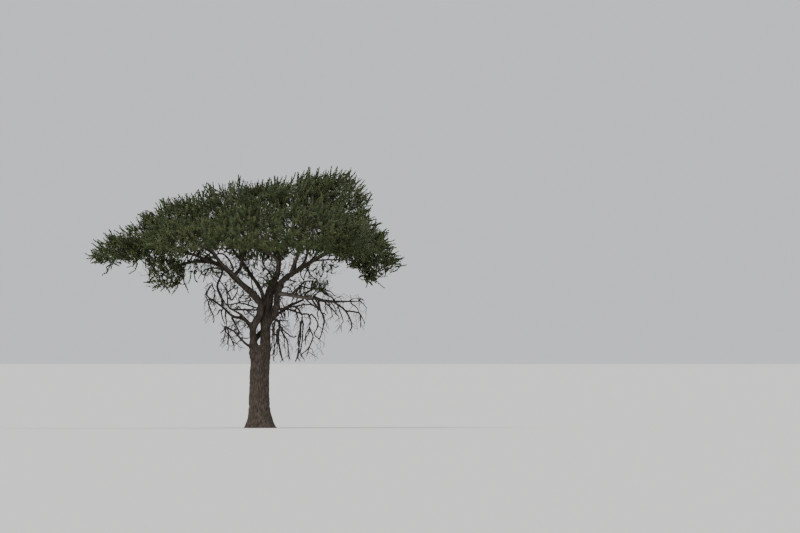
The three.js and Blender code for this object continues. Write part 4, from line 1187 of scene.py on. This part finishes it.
# %% Grow the bare twigs
STRANDS = {
    "dead_twigs": [
        (28, [(2204, 3791), (2380, 3670), (2578, 3494), (2688, 3296), (2754, 3076),
              (2710, 2922)]),
        (22, [(2578, 3516), (2776, 3494), (2974, 3450), (3018, 3296), (3018, 3010)]),
        (14, [(2996, 3428), (3150, 3142)]),
        (16, [(2732, 3758), (2908, 3604), (2963, 3472)]),
        (24, [(2974, 3813), (3080, 3740), (3194, 3604)]),
        (20, [(1940, 3780), (2138, 3604), (2358, 3340)]),
        (17, [(2060, 3760), (2150, 3500), (2170, 3330)]),
        (17, [(2336, 3670), (2402, 3494), (2490, 3208), (2450, 3120)]),
        (21, [(1750, 3850), (1830, 3494), (1918, 3296), (1863, 2900), (1800, 2700)]),
        (18, [(1690, 3870), (1770, 3620), (1720, 3420), (1760, 3250)]),
        (22, [(1560, 3880), (1700, 3650), (1830, 3494), (1990, 3380)]),
        (20, [(1390, 3846), (1610, 3670), (1830, 3494), (1918, 3208)]),
        (17, [(2204, 3800), (2260, 3890)]), (16, [(2688, 3810), (2790, 3880)]),
        (17, [(2960, 3815), (3020, 3880)]),
        (22, [(2250, 3790), (2160, 3912), (1980, 4000), (1830, 4088)]),
        (22, [(1368, 3912), (1368, 4000), (1522, 4132), (1764, 4198)]),
        (19, [(1610, 3967), (1786, 4088)]), (18, [(1760, 4200), (1990, 4060), (2190, 3960)]),
        (15, [(1850, 4170), (2070, 4110), (2240, 3980)]),
        (16, [(1980, 3820), (1960, 3610), (2040, 3420)]),
        (15, [(2130, 3790), (2250, 3590), (2260, 3420)])],
    "hanging_right": [
        (26, [(1225, 3208), (1203, 2900), (1148, 2680), (1170, 2240), (1065, 1990)]),
        (22, [(1280, 3208), (1285, 2900), (1258, 2570), (1192, 2240)]),
        (22, [(1330, 3430), (1456, 3410), (1511, 3164), (1489, 2988), (1588, 2768),
              (1478, 2438), (1214, 2174)]),
        (17, [(1489, 2988), (1368, 2768), (1368, 2504)]),
        (20, [(1533, 3406), (1720, 3186), (1742, 3054), (1632, 2812), (1786, 2658)]),
        (24, [(774, 3604), (1038, 3648), (1434, 3714), (1720, 3604), (1830, 3494)]),
        (18, [(1060, 3560), (1110, 3300), (1070, 3230)]), (13, [(1100, 3450), (1160, 3260)]),
        (13, [(1500, 2950), (1440, 2800), (1300, 2600)]), (15, [(1478, 2438), (1400, 2150)]),
        (15, [(1230, 2200), (1330, 2050)]), (18, [(1930, 3300), (1880, 2950), (1790, 2670)])],
    "hanging_trunk": [
        (24, [(460, 3240), (576, 3164), (620, 3032), (994, 2724), (1095, 2761)]),
        (18, [(650, 2980), (730, 2680), (730, 2438)]),
        (21, [(627, 2960), (818, 2589), (856, 2149), (906, 2053)]),
        (24, [(520, 2950), (560, 2493), (608, 2225), (703, 1996)]),
        (20, [(440, 3100), (420, 2650), (440, 2200)]),
        (18, [(400, 3150), (380, 2850), (350, 2400)]),
        (18, [(520, 2900), (480, 2600), (400, 2250), (420, 2030)]),
        (17, [(470, 2800), (520, 2500), (500, 2200)]),
        (20, [(480, 3230), (640, 3215), (810, 3215)])],
    "hanging_left": [
        (20, [(-960, 2950), (-941, 2780), (-975, 2500)]),
        (18, [(-922, 2800), (-850, 2640), (-789, 2490)]),
        (18, [(-999, 3029), (-1095, 2935), (-1190, 2840)]),
        (15, [(-1000, 3000), (-1060, 2800), (-1090, 2600)])],
    "far_strands": [
        (20, [(-1420, 4349), (-1554, 4177), (-1630, 4024), (-1554, 3794), (-1477, 3565),
              (-1382, 3316), (-1391, 3144)]),
        (18, [(-1404, 3857), (-1352, 4098), (-1430, 4253), (-1438, 4360)]),
        (15, [(-1460, 3560), (-1520, 3330)]), (14, [(-1440, 3860), (-1500, 3700)])],
    "inner_strands": [
        (24, [(-43, 3564), (-272, 3660), (-636, 3756), (-865, 3698), (-1018, 3717),
              (-1095, 3851)]),
        (20, [(-903, 3909), (-1010, 4150), (-1210, 4425)]),
        (19, [(-865, 3832), (-693, 4060), (-674, 4234)]),
        (18, [(-636, 3880), (-520, 4000), (-500, 4180)]),
        (17, [(-903, 4120), (-800, 4200), (-730, 4270)]),
        (17, [(-1057, 4290), (-980, 4400), (-920, 4480)]),
        (16, [(-870, 3600), (-860, 3702), (-698, 3736)]),
        (17, [(-640, 3640), (-560, 3560), (-480, 3500)]),
        (20, [(-463, 3584), (-290, 3430), (-120, 3280)]),
        (16, [(-380, 3560), (-240, 3480), (-150, 3470)]),
        (16, [(-430, 3400), (-300, 3500), (-200, 3600)]),
        (15, [(-290, 3900), (-430, 3890), (-600, 3900)]),
        (15, [(-260, 3830), (-420, 3810), (-640, 3790)]),
        (15, [(-330, 3960), (-480, 3960), (-560, 3990)])],
}
# Long twigs that stand on the limbs themselves, read from the picture in the same way
ON_BOUGHS = {
    "bough_left": [
        (24, [(-813, 4760), (-961, 5085), (-1129, 5222), (-1255, 5222), (-1403, 5127),
              (-1676, 5106)]),
        (19, [(-800, 4700), (-870, 4950), (-1060, 5180)]),
        (20, [(-215, 4180), (-240, 4300), (-260, 4480), (-330, 4620)]),
        (16, [(-1100, 4780), (-1500, 4790), (-1700, 4700), (-1850, 4480)]),
        (15, [(-1500, 4800), (-1640, 4600), (-1700, 4380)])],
    "stem_main": [
        (26, [(330, 4010), (375, 3850), (365, 3700), (330, 3560)]),
        (20, [(300, 4250), (180, 4420), (90, 4500), (-40, 4540)]),
        (17, [(350, 4330), (200, 4330), (60, 4350)]),
        (15, [(320, 4280), (230, 4520), (200, 4640)])],
    "stem_right": [
        (18, [(560, 3560), (700, 3460), (760, 3250)]),
        (16, [(540, 3700), (640, 3500), (660, 3330)]),
        (20, [(540, 3560), (700, 3600), (860, 3640), (1130, 3640)]),
        (15, [(700, 3690), (620, 3850), (700, 3960)]),
        (18, [(560, 4100), (740, 4230), (900, 4180), (972, 4020)]),
        (15, [(700, 4230), (700, 4400), (800, 4490)])],
    "bough_right": [
        (22, [(730, 4440), (900, 4440), (1100, 4380)]),
        (21, [(1300, 4830), (1230, 4700), (1230, 4560), (1316, 4420)]),
        (20, [(1500, 4900), (1400, 4700), (1330, 4540), (1316, 4344)]),
        (17, [(1400, 4870), (1480, 4650), (1600, 4520), (1730, 4430)])],
    "loop_low": [
        (19, [(-1152, 3526), (-1133, 3335), (-1056, 3124)]),
        (21, [(-1037, 3488), (-1018, 3260), (-999, 3067)]),
        (20, [(-1190, 3545), (-1286, 3392)]),
        (18, [(-850, 3300), (-780, 3180), (-712, 3040)]),
        (18, [(-1490, 3860), (-1545, 3720), (-1480, 3540), (-1392, 3330), (-1395, 3150)])],
    "low_limb": [
        (20, [(-630, 2840), (-696, 3045), (-859, 3372)]),
        (15, [(-560, 2704), (-440, 2690), (-291, 2704)])],
    "cross_limb": [
        (46, [(700, 3530), (920, 3690), (1150, 3780), (1310, 3850)]),
        (16, [(740, 3500), (760, 3330)]), (15, [(820, 3560), (860, 3400), (830, 3300)]),
        (16, [(640, 3400), (700, 3250)])],
    "dead_limb": [
        (26, [(972, 4010), (1163, 4210), (1297, 4344)]),
        (20, [(1330, 3930), (1410, 4080), (1530, 4140), (1650, 4200)]),
        (22, [(1060, 4000), (1230, 4240), (1500, 4180), (1750, 4170), (2130, 3930)]),
        (17, [(1000, 3900), (960, 3780), (1000, 3640)]),
        (18, [(1500, 3900), (1600, 4040), (1700, 4130)])],
}
STRAND_STEPS, FINE_STEPS = 24, 6
PATH_STEP, STEM_STEP = 0.02, 0.04  # metres between the points of a strand's and a stem's path
STEM_STOUTER = 1.35  # the stems here against the plain ones of the frame
STRAND_EXTRA = 7  # millimetres added to each radius in the lists above
STRAND_ROOT = 1.3  # the most that a strand's radius may be, against that of its wood
SWAY = 0.12  # how far strands stray to the front or the back
STRAND_KINK, STRAND_TAPER = 0.004, 0.6
STEM_ROOTED, STEM_LEAVING = 0.02, 0.05
TIP_RADII = (0.016, 0.008)
# Fine twigs for a cubic metre, their radius and how long they may be
BARE_RANKS = [(16, 0.016, 0.55), (38, 0.0125, 0.34), (60, 0.0105, 0.2)]
BARE_FAR, BARE_TAPER, BARE_KINK = 0.95, 0.55, 0.06


def strand_points(line):
    """The same line with just the number of points that a strand has."""
    places = np.linspace(0, len(line) - 1, STRAND_STEPS + 1)
    return columns_at(places, np.arange(len(line)), line)


def strand(growth, thick, places, depth):
    """A long twig through places across and up, from the nearest wood."""
    places = np.array([(x * MM, depth, z * MM) for x, z in places])
    nearest = int(np.argmin(np.linalg.norm((growth.points - places[0])[:, ::2], axis=1)))
    start = growth.points[nearest]
    thick = min(thick + STRAND_EXTRA, STRAND_ROOT * growth.radii[nearest] / MM)
    places[:, 1] = start[1] + np.linspace(0, 1, len(places)) * random.normal(0, SWAY)
    line = strand_points(smooth_path([start, *places], PATH_STEP))
    line = line + random.normal(0, STRAND_KINK, line.shape)
    radii = np.linspace(thick, thick * STRAND_TAPER, len(line)) * MM
    growth.keep(line, radii, line[1:], radii[1:])


long_lines, fine_lines = [], []
for mass, (parent, radii, centre, reach, stem, tips) in BARE.items():
    space = SPACES[mass]
    stem = list(np.array(stem) * MM)
    bough = PATHS[parent]
    if parent == "stem_main":
        stem[0] = nearest_point(bough, stem[0])
    else:
        onward = end_direction(bough)
        stem = [bough[-1] - onward * STEM_ROOTED, bough[-1] + onward * STEM_LEAVING, *stem]
    path = smooth_path(stem, STEM_STEP)
    girth = np.linspace(radii[0], radii[1], len(path)) * MM * STEM_STOUTER
    growth = Growth(path, girth)
    long_lines.append((strand_points(path), strand_points(girth[:, None])[:, 0]))
    for thick, places in STRANDS[mass]:
        strand(growth, thick, places, centre[1] * MM)
    for tip in tips:
        growth.reach(np.array(tip) * MM, *TIP_RADII, space, hanging=True, steps=STRAND_STEPS)
    long_lines += growth.lines
    growth.lines = []
    room = 8 * np.prod(space.reach)
    for count, thick, longest in BARE_RANKS:
        for goal in spread_goals(space, int(count * (0.5 + room * 0.5)), BARE_FAR):
            goal = growth.nearer(goal, longest, hanging=True)
            growth.reach(goal, thick, thick * BARE_TAPER, space, hanging=True,
                         kink=BARE_KINK, steps=FINE_STEPS)
    fine_lines += growth.lines
for limb, strands in ON_BOUGHS.items():
    growth = Growth(PATHS[limb], RADII[limb])
    for thick, places in strands:
        strand(growth, thick, places, 0)
    long_lines += growth.lines
print("long strands", len(long_lines), "fine twigs on them", len(fine_lines))

# %% [markdown]
# Small dead twigs also stand along the lower limbs and inside the crown, and each branches
# twice. It starts on a limb, leans along it and turns down or up.

# %% Twigs along the limbs
SPROUTS_PER_METRE = 9
SPROUTING = ["stem_main", "stem_right", "stem_left", "bough_left", "cross_limb", "bough_under",
             "loop_low", "loop_high", "left_fork", "low_limb", "dead_limb", "bough_left_top",
             "bough_mid_left", "bough_mid_low", "bough_centre", "bough_right",
             "bough_right_inner", "bough_right_mid", "bough_right_tip", "bough_far_left"]
SPROUT_LENGTHS, SPROUT_RADIUS, SPROUT_RANKS = (0.12, 0.42), 0.013, 2
SPROUT_LEANS = (0.2, 1.1)  # how far a sprout leans along its limb
SPROUT_TURNS = [-0.7, -0.45, 0.35]  # down or up
SPROUT_KINK = 0.018
FORK_LENGTH, FORK_GIRTH = 0.5, 0.75  # against the sprout that they start from
FORKS_AT = [2, 3, 4, 5]  # the points of a sprout from which two more may start
FREE_START = 4  # how many of a limb's first points bear no sprouts
FREE_STEM = 30


def sprout(start, onward, length, thick, ranks):
    """One small twig and the twigs on it."""
    heading = random.normal(0, 1, 3)
    heading = unit(heading - onward * (heading @ onward))
    heading = unit(heading + onward * random.uniform(*SPROUT_LEANS))
    turn = np.array([0, 0, random.choice(SPROUT_TURNS)])
    t = np.linspace(0, 1, FINE_STEPS + 1)[:, None]
    line = start + length * (heading * t + turn * t ** 2)
    line[1:] += random.normal(0, SPROUT_KINK * length, (FINE_STEPS, 3))
    fine_lines.append((line, np.linspace(thick, thick * TWIG_TAPER, FINE_STEPS + 1)))
    if ranks:
        for i in random.choice(FORKS_AT, 2, replace=False):
            sprout(line[i], unit(line[i] - line[i - 1]), length * FORK_LENGTH,
                   thick * FORK_GIRTH, ranks - 1)


for name in SPROUTING:
    path, radii = PATHS[name], RADII[name]
    onward = unit(np.gradient(path, axis=0))
    first = FREE_STEM if name == "stem_main" else FREE_START
    count = int((len(path) - first) * STEP * SPROUTS_PER_METRE)
    for i in random.integers(first, len(path), count):
        length = radii[i] + random.uniform(*SPROUT_LENGTHS)
        sprout(path[i], onward[i], length, SPROUT_RADIUS, SPROUT_RANKS)

bare_twigs = join([tube_mesh("bare_twigs", long_lines, 5), tube_mesh("fine", fine_lines, 3)],
                  "bare_twigs")
print("bare twigs", len(long_lines), "long and", len(fine_lines), "short,",
      len(bare_twigs.data.polygons), "faces")

# %% [markdown]
# ## Shader maths as plain expressions
#
# A finish is a small sum over the surface. Wrapping a socket in a class that knows + - * lets
# the sum be written as one, and each operator adds the Math node that it stands for.

# %% A class for sockets
class Socket:
    def __init__(self, tree, socket):
        self.tree, self.socket = tree, socket

    def node(self, kind, inputs, output=0, **settings):
        """Adds a node, feeds its inputs and gives one of its outputs."""
        made = self.tree.nodes.new(kind)
        for key, value in settings.items():
            setattr(made, key, value)
        for key, value in inputs.items():
            self.put(made.inputs[key], value)
        return Socket(self.tree, made.outputs[output])

    def put(self, target, value):
        """Links a socket to an input, or sets the input to a plain value."""
        if isinstance(value, Socket):
            self.tree.links.new(value.socket, target)
        else:
            target.default_value = value

    def math(self, operation, *values):
        return self.node("ShaderNodeMath", dict(enumerate(values)), operation=operation)

    def __add__(self, other):
        return self.math("ADD", self, other)

    def __mul__(self, other):
        return self.math("MULTIPLY", self, other)

    def __sub__(self, other):
        return self.math("SUBTRACT", self, other)

    def mixed(self, low, high):
        """A colour that goes from low to high as this value goes from 0 to 1."""
        return self.node("ShaderNodeMix", {0: self, 6: low, 7: high}, 2, data_type="RGBA")

    def noise(self, **inputs):
        return self.node("ShaderNodeTexNoise", {"Vector": self, **inputs}, "Fac")


SHEEN = 0.25


def new_material(name, roughness):
    material = bpy.data.materials.new(name)
    material.use_nodes = True
    shader = material.node_tree.nodes["Principled BSDF"]
    shader.inputs["Roughness"].default_value = roughness
    shader.inputs["Specular IOR Level"].default_value = SHEEN
    return material, shader


# %% [markdown]
# ## Bark and dead wood
#
# Acacia bark is dark grey-brown, nearly black in its fissures and paler on its ridges. The
# pattern follows the grain that each limb carries as an attribute: coordinates round and along
# the wood, drawn out along it so that the fissures are long. Dead wood is the same with the
# bark gone: paler, greyer and smoother.

# %% Make the wood finishes
WOOD_ROUGHNESS = 0.9
FISSURE_NOISE = {"Scale": 38, "Detail": 6, "Roughness": 0.62}
PATCH_NOISE = {"Scale": 5, "Detail": 3}
FISSURE_MIDDLE, FISSURE_CONTRAST, PATCH_CONTRAST = 0.36, 2.6, 0.8
BUMP_DISTANCE = 0.012


def wood_material(name, dark, light, stretch, bump):
    material, shader = new_material(name, WOOD_ROUGHNESS)
    attribute = material.node_tree.nodes.new("ShaderNodeAttribute")
    attribute.attribute_name = "grain"
    grain = Socket(material.node_tree, attribute.outputs["Vector"])
    drawn_out = grain.node("ShaderNodeMapping", {"Vector": grain, "Scale": (1, 1, stretch)})
    fissures = drawn_out.noise(**FISSURE_NOISE)
    patches = grain.noise(**PATCH_NOISE)
    tone = (fissures - FISSURE_MIDDLE) * FISSURE_CONTRAST + (patches - 0.5) * PATCH_CONTRAST
    tone = tone.math("MINIMUM", tone.math("MAXIMUM", tone, 0.0), 1.0)
    bumped = grain.node("ShaderNodeBump", {"Strength": bump, "Distance": BUMP_DISTANCE,
                                           "Height": fissures}, "Normal")
    grain.put(shader.inputs["Base Color"], tone.mixed(dark, light))
    grain.put(shader.inputs["Normal"], bumped)
    return material


BARK = wood_material("acacia_bark", (0.022, 0.017, 0.013, 1), (0.115, 0.09, 0.07, 1),
                     stretch=0.18, bump=0.7)
DEAD = wood_material("bleached_dead_wood", (0.05, 0.043, 0.037, 1), (0.19, 0.17, 0.15, 1),
                     stretch=0.1, bump=0.4)

# %% [markdown]
# ## Twigs and leaves
#
# Twigs are too thin to show a pattern, so each kind has one plain colour. The leaves have
# five plain greens, dealt out by shoot, so that neighbouring sprays part from each other as
# they do in life. A leaf is dull, with a faint sheen.

# %% Make and deal out the finishes
def plain(name, colour, roughness):
    material, shader = new_material(name, roughness)
    shader.inputs["Base Color"].default_value = (*colour, 1)
    return material


GREENS = [(0.060, 0.085, 0.028), (0.048, 0.072, 0.026), (0.075, 0.098, 0.034),
          (0.055, 0.076, 0.034), (0.088, 0.100, 0.036)]
LEAF_FINISHES = [plain(f"leaf_green_{i + 1}", colour, 0.62) for i, colour in enumerate(GREENS)]
TWIG_FINISH = plain("twig_brown", (0.055, 0.042, 0.031), 0.85)
SHOOT_FINISH = plain("young_shoot", (0.075, 0.068, 0.035), 0.8)
BARE_FINISH = plain("dry_twig_grey", (0.043, 0.036, 0.030), 0.88)
DRESSED = [(heavy_wood, BARK), (lesser_wood, BARK), (dead_wood, DEAD),
           (crown_twigs, TWIG_FINISH), (shoot_stems, SHOOT_FINISH), (bare_twigs, BARE_FINISH)]
DRESSED += [(piece, finish) for piece in foliage.values() for finish in LEAF_FINISHES]
for piece, finish in DRESSED:
    piece.data.materials.append(finish)
print(len({finish.name for _, finish in DRESSED}), "finishes")

# %% [markdown]
# ## Tell the frame what each piece is
#
# Every piece moves with the tree's one body and stands for the solids that it replaces.

# %% Ride and replace
def declare(piece, nodes=()):
    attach(piece, "root")
    if nodes:
        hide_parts(*nodes)


declare(heavy_wood, HEAVY_NODES)
declare(lesser_wood, LESSER_NODES)
declare(dead_wood, ["dead_limb"])
for region, names in REGIONS.items():
    declare(foliage[region], ["leaves_" + mass for mass in names if mass in LEAFY])
declare(crown_twigs)
declare(shoot_stems)
declare(bare_twigs, ["twigs_" + mass for mass in BARE])
bpy.data.objects.remove(POLE)
for piece in (heavy_wood, lesser_wood, dead_wood, bare_twigs, crown_twigs, shoot_stems):
    select(piece)
    bpy.ops.object.shade_smooth()

# %% [markdown]
# ## Floor, light and camera
#
# The plain is flat and wide, so the floor is too, and it fades into a pale sky at the height of
# the viewer's eye. The light is a large soft sun with a bright even sky behind it. The camera
# is a long lens far away, low over the plain, so the tree shows almost without perspective.

# %% Floor and light
FLOOR_SIZE = 60000
FLOOR_TONE = (0.62, 0.61, 0.59)
SKY_TONE, SKY_STRENGTH = (0.86, 0.87, 0.9, 1), 0.85
select()
bpy.ops.mesh.primitive_plane_add(size=FLOOR_SIZE)
floor = bpy.context.object
floor.name = "floor"
floor.data.materials.append(plain("pale_floor", FLOOR_TONE, 0.9))

world = bpy.data.worlds.new("soft_sky")
SCENE.world = world
world.use_nodes = True
background = world.node_tree.nodes["Background"]
background.inputs["Color"].default_value = SKY_TONE
background.inputs["Strength"].default_value = SKY_STRENGTH


def sun(name, strength, softness, azimuth, height):
    """A sun with a soft edge; the angles are in degrees."""
    bpy.ops.object.light_add(type="SUN")
    light = bpy.context.object
    light.name = name
    light.data.energy = strength
    light.data.angle = math.radians(softness)
    light.rotation_euler = (math.radians(90 - height), 0, math.radians(azimuth))


sun("key_light", strength=2.6, softness=25, azimuth=-38, height=48)
sun("rim_light", strength=1.2, softness=40, azimuth=130, height=35)

# %% The camera
LENS, SENSOR = 750, 36
DISTANCE = 500.0
FARTHEST = 80000
EYE_HEIGHT = 1.95
PICTURE = (800, 533)
TRUNK_PIXEL, GROUND_PIXEL = 260, 428  # the foot of the tree in the picture
scale = DISTANCE * SENSOR / LENS / PICTURE[0]
aim = Vector(((PICTURE[0] / 2 - TRUNK_PIXEL) * scale, 0,
              (GROUND_PIXEL - PICTURE[1] / 2) * scale))
camera_data = bpy.data.cameras.new("camera")
camera_data.lens = LENS
camera_data.sensor_width = SENSOR
camera_data.clip_end = FARTHEST
camera = bpy.data.objects.new("camera", camera_data)
SCENE.collection.objects.link(camera)
camera.location = (aim.x, -DISTANCE, EYE_HEIGHT)
camera.rotation_euler = (aim - camera.location).to_track_quat("-Z", "Y").to_euler()
SCENE.camera = camera
print("one pixel is", round(scale * 1000, 2), "mm at the tree")
